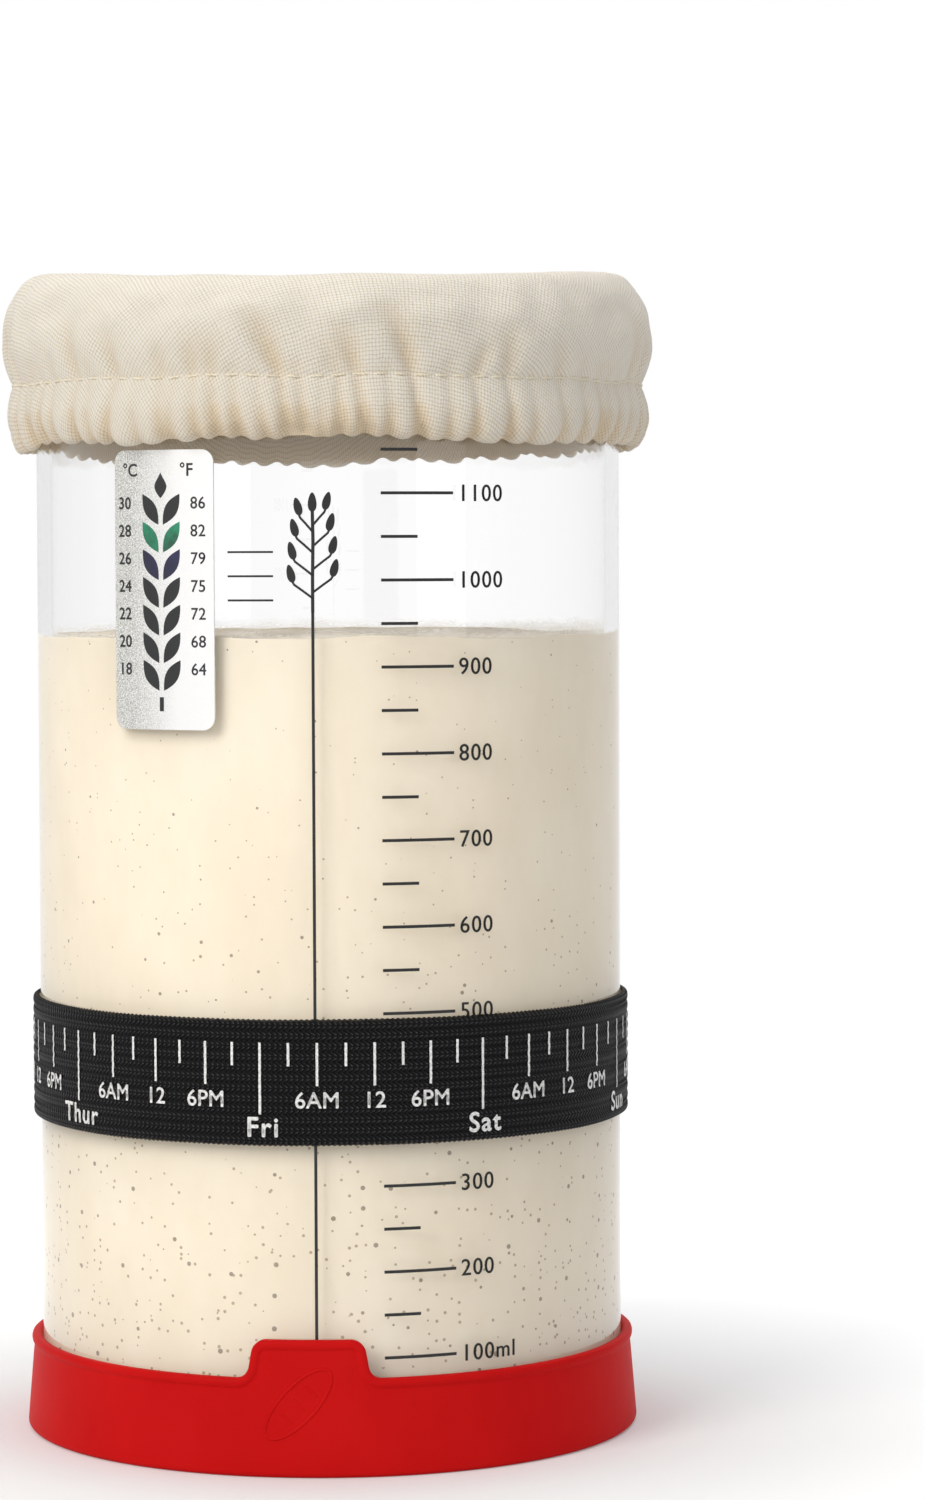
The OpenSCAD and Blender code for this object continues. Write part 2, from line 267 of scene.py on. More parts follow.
def thicken(bm, depth):
    """Gives flat work a thickness, from its plane outwards."""
    grown = bmesh.ops.extrude_face_region(bm, geom=bm.faces[:])["geom"]
    for item in grown:
        if isinstance(item, bmesh.types.BMVert):
            item.co.z += depth


def wrap(bm, angle, z, radius, relief=None):
    """Bends flat work round the jar: x along the wall, y up it, z out of it."""
    for v in bm.verts:
        up = z + v.co.y
        r = radius + v.co.z + (relief(up) if relief else 0.0)
        v.co = on_jar(angle + math.degrees(v.co.x / radius), r, up)


def lettering(text, cap, bold=0.0, spacing=1.0, align="CENTER"):
    """Flat lettering with a cap height in millimetres, on its baseline. The bold is laid on
    as copies that are shifted by that much, because the font has one weight."""
    curve = bpy.data.curves.new("lettering", "FONT")
    curve.body = text
    curve.size = cap / CAP_SHARE
    curve.space_character = spacing
    curve.align_x = align
    curve.resolution_u = 4
    obj = bpy.data.objects.new("lettering", curve)
    bpy.context.scene.collection.objects.link(obj)
    graph = bpy.context.evaluated_depsgraph_get()
    mesh = bpy.data.meshes.new_from_object(obj.evaluated_get(graph))
    bm = bmesh.new()
    shifts = [(0, 0)]
    if bold:
        shifts = [(bold, 0), (-bold, 0), (0, bold), (0, -bold)]
    for x, y in shifts:
        copy = mesh.copy()
        copy.transform(Matrix.Translation((x, y, 0)))
        bm.from_mesh(copy)
        bpy.data.meshes.remove(copy)
    bpy.data.objects.remove(obj)
    bpy.data.curves.remove(curve)
    bpy.data.meshes.remove(mesh)
    for v in bm.verts:
        v.co.z = 0
    return bm


def bar(rows):
    """A closed bar through rings of points."""
    bm = skin(rows)
    bmesh.ops.holes_fill(bm, edges=[e for e in bm.edges if e.is_boundary])
    return bm


def join(parts):
    """One mesh from several."""
    whole = bmesh.new()
    for bm in parts:
        mesh = bpy.data.meshes.new("part")
        bm.to_mesh(mesh)
        bm.free()
        whole.from_mesh(mesh)
        bpy.data.meshes.remove(mesh)
    return whole


CAP_SHARE = 1.0
sample = lettering("H", 1.0)
CAP_SHARE = max(v.co.y for v in sample.verts)
sample.free()


# Camera, light and floor

camera = bpy.data.cameras.new("camera")
camera.sensor_fit = "VERTICAL"
camera.sensor_height = 36.0
camera.lens = 4463 / 1500 * 36
view = bpy.data.objects.new("camera", camera)
view.location = (0.770 * math.sin(math.radians(3)), -0.770 * math.cos(math.radians(3)), 0.1506)
view.rotation_euler = [math.radians(a) for a in (90 - 2.59, 0.23, 3 - 1.716)]
bpy.context.scene.collection.objects.link(view)
bpy.context.scene.camera = view
bpy.context.scene.view_settings.view_transform = "Standard"


def lamp(name, at, aim, size, watts, colour="#FFFFFF"):
    """A soft box at a point in metres, turned towards another."""
    light = bpy.data.lights.new(name, "AREA")
    light.shape = "RECTANGLE"
    light.size, light.size_y = size
    light.energy = watts
    light.color = linear(colour)[:3]
    obj = bpy.data.objects.new(name, light)
    obj.location = at
    obj.rotation_euler = (Vector(aim) - Vector(at)).to_track_quat("-Z", "Y").to_euler()
    bpy.context.scene.collection.objects.link(obj)
    return obj


lamp("key_softbox", (-0.75, -0.95, 0.75), (0, 0, 0.10), (0.6, 0.8), 8.5, "#FFFCF6")
fill = lamp("fill_softbox", (0.95, -0.85, 0.45), (0, 0, 0.10), (0.5, 0.8), 1.5)
fill.visible_glossy = False
lamp("top_softbox", (0.0, 0.15, 1.10), (0, 0, 0.10), (0.8, 0.6), 3.6)


def studio_world():
    """White all round, with two dark strips behind the jar that draw the edges of its glass."""
    world = bpy.data.worlds.new("studio")
    bpy.context.scene.world = world
    world.use_nodes = True
    tree = world.node_tree
    tree.nodes.clear()
    ray = put(tree, "LightPath").outputs
    way = put(tree, "TexCoord").outputs["Generated"]
    parts = put(tree, "SeparateXYZ", {0: way}).outputs
    side = calc(tree, "ABSOLUTE", parts[0])
    strips = ramp(tree, side, [(0.0, grey(1.0)), (0.20, grey(1.0)), (0.30, grey(0.35)),
                               (0.42, grey(0.03)), (0.60, grey(0.03)), (0.75, grey(1.0))])
    behind = put(tree, "MapRange", {"Value": parts[1], 1: -0.1, 2: 0.2}).outputs[0]
    through = mix(tree, behind, grey(1.0), strips)
    mirrored = ramp(tree, side, [(0.0, grey(1.0)), (0.5, grey(0.85)), (1.0, grey(0.80))])
    cards = mix(tree, ray["Is Glossy Ray"], through, mirrored)
    seen = put(tree, "Background", {"Color": grey(1.0), "Strength": 1.0})
    around = put(tree, "Background", {"Color": cards, "Strength": 1.0})
    soft = put(tree, "Background", {"Color": linear("#FBFCFF"), "Strength": 0.46})
    sharp = calc(tree, "MAXIMUM", ray["Is Glossy Ray"], ray["Is Transmission Ray"])
    first = put(tree, "MixShader", {0: sharp, 1: soft.outputs[0], 2: around.outputs[0]})
    last = put(tree, "MixShader", {0: ray["Is Camera Ray"], 1: first.outputs[0],
                                   2: seen.outputs[0]})
    put(tree, "OutputWorld", {"Surface": last.outputs[0]})


def studio_floor():
    """A matt white table top. It is lifted to white for the lens and keeps its shadow; the lift is
    weaker close to the jar, a painted shade round the boot.
    """
    made, tree = new_material("studio_floor")
    ray = put(tree, "LightPath").outputs
    seen = calc(tree, "MAXIMUM", ray["Is Camera Ray"],
                calc(tree, "MAXIMUM", ray["Is Glossy Ray"], ray["Is Transmission Ray"]))
    cloudy = object_noise(tree, 3.0, 2.0)
    tone = ramp(tree, cloudy, [(0.0, grey(0.80)), (1.0, grey(0.82))])
    matt = put(tree, "BsdfDiffuse", {"Color": tone})
    where = put(tree, "TexCoord").outputs["Object"]
    away = put(tree, "VectorMath", {0: where}, operation="LENGTH").outputs["Value"]
    # Painted shade: the lift for the lens is smaller near the jar, so the floor is darker round the
    # boot
    bright = put(tree, "MapRange", {"Value": away, 1: 0.058, 2: 0.16, 3: 0.14, 4: 0.48}).outputs[0]
    glow = calc(tree, "MULTIPLY", seen, bright)
    lift = put(tree, "Emission", {"Color": grey(1.0), "Strength": glow})
    top = put(tree, "AddShader", {0: matt.outputs[0], 1: lift.outputs[0]})
    # The table top fades out into the white round it
    gone = put(tree, "MapRange", {"Value": away, 1: 0.18, 2: 0.60, 3: 0.0, 4: 1.0},
               interpolation_type="SMOOTHSTEP").outputs[0]
    clear = put(tree, "BsdfTransparent", {"Color": grey(1.0)})
    output(tree, put(tree, "MixShader", {0: gone, 1: top.outputs[0], 2: clear.outputs[0]}))
    bm = bmesh.new()
    bmesh.ops.create_grid(bm, x_segments=1, y_segments=1, size=0.8)
    mesh = bpy.data.meshes.new("floor")
    bm.to_mesh(mesh)
    bm.free()
    mesh.materials.append(made)
    obj = bpy.data.objects.new("floor", mesh)
    bpy.context.scene.collection.objects.link(obj)


studio_world()
studio_floor()


# Materials

def clear_glass():
    """Borosilicate: clear; shadow rays pass, so the starter is lit."""
    made, tree = new_material("clear_borosilicate")
    ray = put(tree, "LightPath").outputs
    glass = put(tree, "BsdfPrincipled", {"Base Color": grey(1.0), "Roughness": 0.0,
                                         "IOR": 1.47, "Transmission Weight": 1.0})
    through = put(tree, "BsdfTransparent", {"Color": grey(1.0)})
    output(tree, put(tree, "MixShader", {0: ray["Is Shadow Ray"], 1: glass.outputs[0],
                                         2: through.outputs[0]}))
    return made


def fired_ink():
    """Black enamel fired on the glass: dense, with a slight grain and gloss."""
    made, tree = new_material("fired_black_enamel")
    tone = ramp(tree, object_noise(tree, 900, 2.0),
                [(0.3, linear("#0B0B0B")), (0.7, linear("#171716"))])
    height = object_noise(tree, 3000, 2.0)
    output(tree, put(tree, "BsdfPrincipled", {"Base Color": tone, "Roughness": 0.38,
                                              "Normal": bump(tree, height, 0.01)}))
    return made


def starter_batter():
    """Rye and wheat batter: cream, mottled, with brown bran and small bubbles."""
    made, tree = new_material("starter_batter")
    where = put(tree, "TexCoord").outputs["Object"]
    high = put(tree, "SeparateXYZ", {0: where}).outputs[2]
    cloudy = object_noise(tree, 60, 4.0, 0.6, (1, 1, 0.55))
    base = ramp(tree, cloudy, [(0.25, linear("#E2D7C3")), (0.5, linear("#E9DFCD")),
                               (0.78, linear("#EEE6D7"))])
    streak = object_noise(tree, 240, 3.0, 0.6, (1, 1, 0.4))
    base = mix(tree, calc(tree, "MULTIPLY", streak, 0.30), base, linear("#E2D5BC"))
    # Bran and bubbles are thicker low down: the cells grow rarer with the height
    low = put(tree, "MapRange", {"Value": high, 1: 0.01, 2: 0.13, 3: 1.0, 4: 0.45}).outputs[0]
    heights = []
    for cells, size, colour, share in ((430, 0.20, "#6F5C48", 0.30), (800, 0.24, "#9A8468", 0.42)):
        spots = put(tree, "TexVoronoi", {"Vector": where, "Scale": cells, "Randomness": 1.0})
        near = calc(tree, "LESS_THAN", spots.outputs["Distance"],
                    calc(tree, "MULTIPLY", low, size))
        luck = put(tree, "SeparateColor", {0: spots.outputs["Color"]}).outputs[0]
        some = calc(tree, "LESS_THAN", luck, calc(tree, "MULTIPLY", low, share))
        spot = calc(tree, "MULTIPLY", near, some)
        base = mix(tree, calc(tree, "MULTIPLY", spot, 0.75), base, linear(colour))
        heights.append(spot)
    pits = calc(tree, "SUBTRACT", cloudy, calc(tree, "ADD", *heights))
    output(tree, put(tree, "BsdfPrincipled", {
        "Base Color": base, "Roughness": 0.5, "Normal": bump(tree, pits, 0.10, 0.5)}))
    return made


def wet_smear():
    """A thin film of batter left on the glass above the level, torn into drops at its edge."""
    made, tree = new_material("batter_smear")
    height = put(tree, "UVMap", uv_map="weave").outputs[0]
    v = put(tree, "SeparateXYZ", {0: height}).outputs[1]
    torn = object_noise(tree, 150, 4.0, 0.6, (0.8, 0.8, 1.7))
    fade = calc(tree, "SUBTRACT", calc(tree, "ADD", torn, 0.25), v)
    cover = put(tree, "MapRange", {"Value": fade, 1: 0.0, 2: 0.55, 3: 0.0, 4: 0.62}).outputs[0]
    film = put(tree, "BsdfPrincipled", {"Base Color": linear("#FBF6EC"), "Roughness": 0.6})
    lit = put(tree, "BsdfTranslucent", {"Color": linear("#FBF6EC")})
    milk = put(tree, "MixShader", {0: 0.5, 1: film.outputs[0], 2: lit.outputs[0]})
    clear = put(tree, "BsdfTransparent", {"Color": grey(1.0)})
    output(tree, put(tree, "MixShader", {0: cover, 1: clear.outputs[0], 2: milk.outputs[0]}))
    return made


def red_silicone():
    """Moulded food silicone: deep red, satin, with a fine spark-eroded grain."""
    made, tree = new_material("red_silicone")
    tone = ramp(tree, object_noise(tree, 45, 3.0),
                [(0.3, linear("#C91113")), (0.7, linear("#D31717"))])
    grain = object_noise(tree, 4200, 2.0)
    waves = object_noise(tree, 90, 2.0)
    shape = bump(tree, grain, 0.012, 0.6, bump(tree, waves, 0.12, 0.5))
    output(tree, put(tree, "BsdfPrincipled", {
        "Base Color": tone, "Roughness": 0.5, "Specular IOR Level": 0.04, "Normal": shape}))
    return made


def metallised_card():
    """Silver film on card: grainy silver at the left, and plain white towards the right as a painted
    reflection.
    """
    made, tree = new_material("metallised_card")
    across = put(tree, "UVMap", uv_map="weave").outputs[0]
    u = put(tree, "SeparateXYZ", {0: across}).outputs[0]
    glitter = object_noise(tree, 5200, 2.0, 0.7)
    fine = object_noise(tree, 2400, 2.0, 0.6)
    # Painted reflection: away from its left edge the card is drawn plain white
    left = put(tree, "MapRange", {"Value": u, 1: -6.0, 2: 3.0, 3: 1.0, 4: 0.06}).outputs[0]
    speck = ramp(tree, glitter, [(0.36, linear("#9FA09C")), (0.50, linear("#D6D6D0")),
                                 (0.62, linear("#FFFFFF"))])
    tone = mix(tree, left, linear("#FFFFFF"), speck)
    height = calc(tree, "ADD", glitter, fine)
    output(tree, put(tree, "BsdfPrincipled", {
        "Base Color": tone, "Metallic": 0.15, "Roughness": 0.40,
        "Normal": bump(tree, height, 0.02, 0.5)}))
    return made


def crystal_cells():
    """Liquid crystal on black: each cell holds its own tint, lightened towards its top and right by a
    painted sheen.
    """
    made, tree = new_material("liquid_crystal")
    tint = put(tree, "Attribute", attribute_name="tint").outputs["Color"]
    patch = object_noise(tree, 420, 3.0, 0.6)
    dull = ramp(tree, patch, [(0.35, grey(0.45)), (0.62, grey(1.0))])
    tone = mix(tree, 1.0, tint, dull, "MULTIPLY")
    output(tree, put(tree, "BsdfPrincipled", {
        "Base Color": tone, "Roughness": 0.30, "Coat Weight": 0.4, "Coat Roughness": 0.2,
        "Normal": bump(tree, object_noise(tree, 3500, 2.0), 0.01)}))
    return made


def card_print():
    """Dark grey print on the thermometer card, a little thin in places."""
    made, tree = new_material("card_print")
    tone = ramp(tree, object_noise(tree, 2600, 2.0),
                [(0.35, linear("#1E1E20")), (0.7, linear("#333335"))])
    output(tree, put(tree, "BsdfPrincipled", {"Base Color": tone, "Roughness": 0.55}))
    return made


def clear_adhesive():
    """Acrylic adhesive under the card: milky, with tiny bubbles."""
    made, tree = new_material("acrylic_adhesive")
    tone = ramp(tree, object_noise(tree, 1200, 3.0),
                [(0.4, linear("#D5D5D0")), (0.6, linear("#E6E6E1"))])
    output(tree, put(tree, "BsdfPrincipled", {"Base Color": tone, "Roughness": 0.6}))
    return made


def knit_height(tree):
    """Height of the knit: a chevron of two slanting loops on each rib, one stitch to a unit."""
    uv = put(tree, "UVMap", uv_map="weave").outputs[0]
    parts = put(tree, "SeparateXYZ", {0: uv}).outputs
    rib = calc(tree, "SUBTRACT", calc(tree, "FRACT", parts[1]), 0.5)
    off = calc(tree, "MULTIPLY", calc(tree, "ABSOLUTE", rib), 2.0)
    wander = calc(tree, "MULTIPLY", object_noise(tree, 700, 2.0), 0.35)
    slant = calc(tree, "MULTIPLY", off, 0.85)
    phase = calc(tree, "ADD", calc(tree, "ADD", parts[0], slant), wander)
    wave = calc(tree, "SINE", calc(tree, "MULTIPLY", phase, 2 * math.pi))
    loop = calc(tree, "ADD", calc(tree, "MULTIPLY", wave, 0.5), 0.5)
    crown = calc(tree, "SUBTRACT", 1.0, calc(tree, "POWER", off, 3.0))
    seam = calc(tree, "MINIMUM", calc(tree, "MULTIPLY", off, 5.0), 1.0)
    return calc(tree, "MULTIPLY", calc(tree, "MULTIPLY", loop, crown), seam)


def black_knit():
    """Knitted polyester over rubber: black with fine fibres; each loop's crest carries a painted grey
    highlight, and the hollows between loops a painted deeper black.
    """
    made, tree = new_material("black_knit_webbing")
    height = knit_height(tree)
    fibre = object_noise(tree, 6500, 2.0, 0.6)
    # Painted highlight: the loop crests are drawn grey, the hollows between them near black
    tone = ramp(tree, height, [(0.0, linear("#010101")), (0.45, linear("#060607")),
                               (0.75, linear("#1C1C1E")), (1.0, linear("#56565A"))])
    tone = mix(tree, calc(tree, "MULTIPLY", fibre, 0.2), tone, linear("#101012"))
    deep = bump(tree, height, 0.34, 1.0)
    output(tree, put(tree, "BsdfPrincipled", {
        "Base Color": tone, "Roughness": 0.5, "Specular IOR Level": 0.16,
        "Normal": bump(tree, fibre, 0.04, 0.6, deep)}))
    return made


def white_print():
    """White transfer print on the knit: it sinks between the loops and thins there."""
    made, tree = new_material("white_band_print")
    height = knit_height(tree)
    tone = ramp(tree, height, [(0.0, linear("#DCDCDA")), (0.35, linear("#F6F6F4")),
                               (1.0, linear("#FDFDFC"))])
    output(tree, put(tree, "BsdfPrincipled", {
        "Base Color": tone, "Roughness": 0.6, "Normal": bump(tree, height, 0.06, 0.6)}))
    return made


def rubber_strand():
    """Natural latex strands inside the webbing: tan, matt, dusted with talc."""
    made, tree = new_material("latex_strand")
    tone = ramp(tree, object_noise(tree, 900, 3.0),
                [(0.35, linear("#BFA67E")), (0.7, linear("#D8C6A3"))])
    output(tree, put(tree, "BsdfPrincipled", {
        "Base Color": tone, "Roughness": 0.65,
        "Normal": bump(tree, object_noise(tree, 3000, 2.0), 0.02)}))
    return made


def thread(name, dark, light):
    """Spun sewing thread with a slanting twist."""
    made, tree = new_material(name)
    twist = put(tree, "TexWave", {"Vector": put(tree, "TexCoord").outputs["Object"],
                                  "Scale": 900.0, "Distortion": 1.0}, bands_direction="DIAGONAL")
    tone = mix(tree, twist.outputs["Fac"], linear(dark), linear(light))
    output(tree, put(tree, "BsdfPrincipled", {
        "Base Color": tone, "Roughness": 0.7, "Sheen Weight": 0.2,
        "Normal": bump(tree, twist.outputs["Fac"], 0.05)}))
    return made


def cotton_linen():
    """Unbleached plain weave. The thread is 0.49 mm apart; it is drawn at 0.64 mm, for the
    render's pixels. Slubs vary the yarns; painted shade darkens the gaps between them, and a
    warmer, deeper painted shade lies in the folds and on the inside of the turned hem."""
    made, tree = new_material("unbleached_plain_weave")
    uv = put(tree, "UVMap", uv_map="weave").outputs[0]
    wander = put(tree, "TexNoise", {"Vector": uv, "Scale": 0.35, "Detail": 2.0}).outputs["Color"]
    drift = put(tree, "VectorMath", {0: wander, 1: (0.6, 0.6, 0.0)},
                operation="MULTIPLY").outputs[0]
    laid = put(tree, "VectorMath", {0: uv, 1: drift}, operation="ADD").outputs[0]
    parts = put(tree, "SeparateXYZ", {0: laid}).outputs
    pitch = 0.64
    waves = []
    for axis in (0, 1):
        turns = calc(tree, "MULTIPLY", parts[axis], math.pi / pitch)
        waves.append(calc(tree, "ABSOLUTE", calc(tree, "SINE", turns)))
    checks = []
    for axis in (0, 1):
        turns = calc(tree, "MULTIPLY", parts[axis], 0.5 / pitch)
        checks.append(calc(tree, "GREATER_THAN", calc(tree, "FRACT", turns), 0.5))
    over = calc(tree, "ABSOLUTE", calc(tree, "SUBTRACT", checks[0], checks[1]))
    dip = calc(tree, "MULTIPLY", over, 0.4)
    warp = calc(tree, "MULTIPLY", waves[0], calc(tree, "ADD", dip, 0.6))
    weft = calc(tree, "MULTIPLY", waves[1], calc(tree, "SUBTRACT", 1.0, dip))
    yarn = calc(tree, "MAXIMUM", warp, weft)
    both = calc(tree, "MULTIPLY", waves[0], waves[1])
    slubs = []
    for stretch in ((2.2, 0.06, 1), (0.06, 2.2, 1)):
        along = put(tree, "Mapping", {"Vector": uv, "Scale": stretch}).outputs[0]
        thick = put(tree, "TexNoise", {"Vector": along, "Scale": 1.0, "Detail": 2.0})
        slubs.append(thick.outputs[0])
    slub = calc(tree, "MULTIPLY", calc(tree, "ADD", *slubs), 0.5)
    # Painted shade: the lines between the yarns are drawn in a darker tan
    yarns_and_gap_shade = ramp(tree, both, [(0.0, linear("#D2BF9B")), (0.22, linear("#F9F2E4")),
                            (1.0, linear("#FFFDF6"))])
    tone = mix(tree, ramp(tree, slub, [(0.38, grey(0.0)), (0.62, grey(0.45))]), yarns_and_gap_shade,
               linear("#FFF6E6"))
    # Painted shade: the attribute read here darkens and warms the cloth in its folds and inside the
    # turned hem
    painted_fold_shade = put(tree, "Attribute", attribute_name="painted_fold_shade").outputs["Fac"]
    tone = mix(tree, calc(tree, "MULTIPLY", painted_fold_shade, 0.55), tone, linear("#E6CDA2"), "MULTIPLY")
    height = calc(tree, "ADD", yarn, calc(tree, "MULTIPLY", slub, 0.8))
    fuzz = object_noise(tree, 5200, 2.0, 0.6)
    woven = bump(tree, fuzz, 0.03, 0.6, bump(tree, height, 0.10, 0.8))
    front = put(tree, "BsdfPrincipled", {
        "Base Color": tone, "Roughness": 0.88, "Sheen Weight": 0.15, "Sheen Roughness": 0.5,
        "Normal": woven})
    warm = mix(tree, 0.35, tone, linear("#F2C98C"), "MULTIPLY")
    through = put(tree, "BsdfTranslucent", {"Color": warm, "Normal": woven})
    output(tree, put(tree, "MixShader", {0: 0.12, 1: front.outputs[0], 2: through.outputs[0]}))
    return made


def braided_elastic():
    """Braided elastic: off-white, with its braid running round the jar."""
    made, tree = new_material("braided_elastic")
    rows = put(tree, "TexWave", {"Vector": put(tree, "TexCoord").outputs["Object"],
                                 "Scale": 160.0, "Distortion": 0.6}, bands_direction="Z")
    tone = mix(tree, rows.outputs["Fac"], linear("#D9D7CF"), linear("#F2F1EC"))
    output(tree, put(tree, "BsdfPrincipled", {
        "Base Color": tone, "Roughness": 0.8, "Sheen Weight": 0.2,
        "Normal": bump(tree, rows.outputs["Fac"], 0.2)}))
    return made


GLASS = clear_glass()
INK = fired_ink()
BATTER = starter_batter()
SMEAR = wet_smear()
SILICONE = red_silicone()
CARD = metallised_card()
CELLS = crystal_cells()
CARD_INK = card_print()
KNIT = black_knit()
BAND_INK = white_print()
BLACK_THREAD = thread("black_polyester_thread", "#0A0A0B", "#29292B")
COTTON = cotton_linen()
CREAM_THREAD = thread("cream_cotton_thread", "#EBDDBD", "#FFF8E8")

for node, made_of in (("volume_scale", INK), ("level_line", INK),
                      ("thermometer_adhesive", clear_adhesive()),
                      ("band_strands", rubber_strand()), ("cover_elastic", braided_elastic())):
    cad[node].data.materials.clear()
    cad[node].data.materials.append(made_of)


# Glass and starter

def glass_jar():
    """The jar in one skin, turned finer than the CAD solid, on the same profile."""
    foot, rim = JAR_FOOT, 1.2
    profile = [(0.0, foot + 0.6), (20.0, foot + 0.6), (40.6, foot + 0.6), (41.4, foot + 0.5),
               (42.6, foot + 0.1), (43.4, foot)]
    profile += arc(JAR_R - 5, foot + 5, 5, -90, 0, 10)
    # Rows next to the heel and the rim keep the wall between them straight to the light
    profile += [(JAR_R, z) for z in (foot + 5.3, foot + 6, foot + 60, foot + 130,
                                     RIM_Z - rim - 1, RIM_Z - rim - 0.3)]
    profile += arc(JAR_R - rim, RIM_Z - rim, rim, 0, 180, 12)
    profile += [(BORE_R, z) for z in (RIM_Z - rim - 0.3, RIM_Z - rim - 1, foot + 130, foot + 60,
                                      BORE_FOOT + 6, BORE_FOOT + 5.3)]
    profile += arc(BORE_R - 5, BORE_FOOT + 5, 5, 0, -90, 8)
    profile += [(20.0, BORE_FOOT), (0.0, BORE_FOOT)]
    new_piece("glass_jar_clear", lathe(profile, 256), GLASS, "jar", ["glass_jar"],
              sharp=60)


def starter():
    """The batter. It wets the glass, so its side lies a hair inside the glass wall."""
    side = BORE_R + 0.04
    foot = BORE_FOOT - 0.02
    rows = []
    segments = 192

    def row(r, z, swell=0.0):
        points = []
        for i in range(segments):
            a = 360 * i / segments
            p = on_jar(a, r, z)
            lift = noise.noise(p * 0.05) * 1.3 + noise.noise(p * 0.16 + Vector((7, 0, 0))) * 0.5
            points.append(p + Vector((0, 0, lift * swell)))
        rows.append(points)

    row(0.0, foot)
    row(20, foot)
    for r, z in arc(side - 5, foot + 5, 5, -90, 0, 6):
        row(r, z)
    row(side, 60)
    row(side, 120)
    edge = STARTER_TOP - 1.6
    row(side, edge + 0.7, 0.5)
    for a in (15, 35, 60, 90):
        r = side - 5 * (1 - math.cos(math.radians(a)))
        row(r, edge + 0.7 - 0.5 * math.sin(math.radians(a)), 0.6)
    for r in (40, 36, 32, 28, 24, 20, 16, 12, 8, 4):
        row(r, STARTER_TOP - 0.9 - 0.3 * (r / 43) ** 2, 0.8)
    row(0.0, STARTER_TOP - 0.9, 0.8)
    bm = skin(rows)
    bmesh.ops.remove_doubles(bm, verts=bm.verts, dist=1e-3)
    new_piece("starter_batter", bm, BATTER, "jar", ["sourdough_starter"], sharp=70)


def tide_smear():
    """The film that the batter left on the bore as it moved, higher at the right."""
    segments = 240
    rows, uvs = [], []
    for j in range(9):
        share = j / 8
        points, row_uv = [], []
        for i in range(segments + 1):
            a = 360 * i / segments
            side = math.sin(math.radians(a))
            front = math.cos(math.radians(a))
            tall = 3.9 + 0.9 * side + 1.2 * noise.noise(Vector((side * 3, front * 3, 2)))
            if i < segments:
                points.append(on_jar(a, BORE_R - 0.12, STARTER_TOP - 2.2 + tall * share))
            row_uv.append((i / segments, share))
        rows.append(points)
        uvs.append(row_uv)
    new_piece("starter_smear", skin(rows, uvs=uvs), SMEAR, "jar", recalc=False)


glass_jar()
starter()
tide_smear()


# Print on the glass

def scale_numerals():
    """The volume numerals, each beside its own mark."""
    bore = math.pi * BORE_R ** 2
    loss = 2 * math.pi * (BORE_R - 0.2234 * 5) * (1 - math.pi / 4) * 25
    parts = []
    for ml in range(100, 1101, 100):
        z = BORE_FOOT + (1000 * ml + loss) / bore
        text = f"{ml}ml" if ml == 100 else str(ml)
        bm = lettering(text, 2.65, 0.025, 1.12, "LEFT")
        thicken(bm, 0.1)
        wrap(bm, 27.8, z - 1.32, JAR_R)
        parts.append(bm)
    new_piece("scale_numerals", join(parts), INK, "jar")


def write_on_lines():
    """Three plain lines to write the feeding day on."""
    bm = bmesh.new()
    for up in (150.1, 146.2, 142.3):
        flat_shape(bm, [(-3.8, up - 0.17), (3.8, up - 0.17), (3.8, up + 0.17), (-3.8, up + 0.17)])
    slice_flat(bm, 0, 1.0)
    thicken(bm, 0.1)
    wrap(bm, -11.7, 0, JAR_R)
    new_piece("write_on_lines", bm, INK, "jar")


def oat_sprig():
    """A plain sprig of oats on top of the level line: a stem with drooping grains."""
    bm = bmesh.new()
    line = 0.55
    stroke(bm, [(0, 140.4), (0, 146), (0.1, 152), (0, 157.3)], line)

    def grain(x, y, lean, size=1.0):
        points = []
        for i in range(20):
            t = 2 * math.pi * i / 20
            px = 0.78 * size * math.sin(t) * (1 - 0.25 * math.cos(t))
            py = 1.75 * size * math.cos(t)
            c, s = math.cos(math.radians(lean)), math.sin(math.radians(lean))
            points.append((x + px * c - py * s, y + px * s + py * c))
        flat_shape(bm, points)

    grain(0, 158.1, 0, 0.9)
    for level, (y, reach) in enumerate(((142.7, 3.5), (146.4, 3.3), (150.1, 2.9), (153.5, 2.3))):
        for side in (-1, 1):
            root = y + (0.9 if side > 0 else 0)
            tip = (side * reach, root + 3.0)
            stroke(bm, [(side * 0.1, root), (side * reach * 0.45, root + 1.1),
                        (side * reach * 0.85, root + 2.1), tip], 0.38)
            grain(tip[0] + side * 0.05, tip[1] + 0.9, -side * 14, 0.85)
    slice_flat(bm, 0, 1.0)
    thicken(bm, 0.1)
    wrap(bm, 0, 0, JAR_R)
    new_piece("oat_sprig", bm, INK, "jar")


scale_numerals()
write_on_lines()
oat_sprig()


# Thermometer

def card_uv(bm):
    """Writes the flat place of each point, in millimetres, before the work is bent."""
    layer = bm.loops.layers.uv.new("weave")
    for face in bm.faces:
        for loop in face.loops:
            loop[layer].uv = loop.vert.co.xy


def thermometer_card():
    """The card with its round corners."""
    w, h, r = CARD_W / 2, CARD_H / 2, 2.1
    outline = []
    for cx, cy, start in ((w - r, h - r, 0), (r - w, h - r, 90),
                          (r - w, r - h, 180), (w - r, r - h, 270)):
        outline += arc(cx, cy, r, start, start + 90, 10)
    bm = bmesh.new()
    flat_shape(bm, outline)
    slice_flat(bm, 0, 0.7)
    thicken(bm, CARD_OUT - CARD_IN)
    card_uv(bm)
    wrap(bm, CARD_ANGLE, CARD_Z, CARD_IN)
    new_piece("card_metallised", bm, CARD, "jar", ["thermometer_card"])


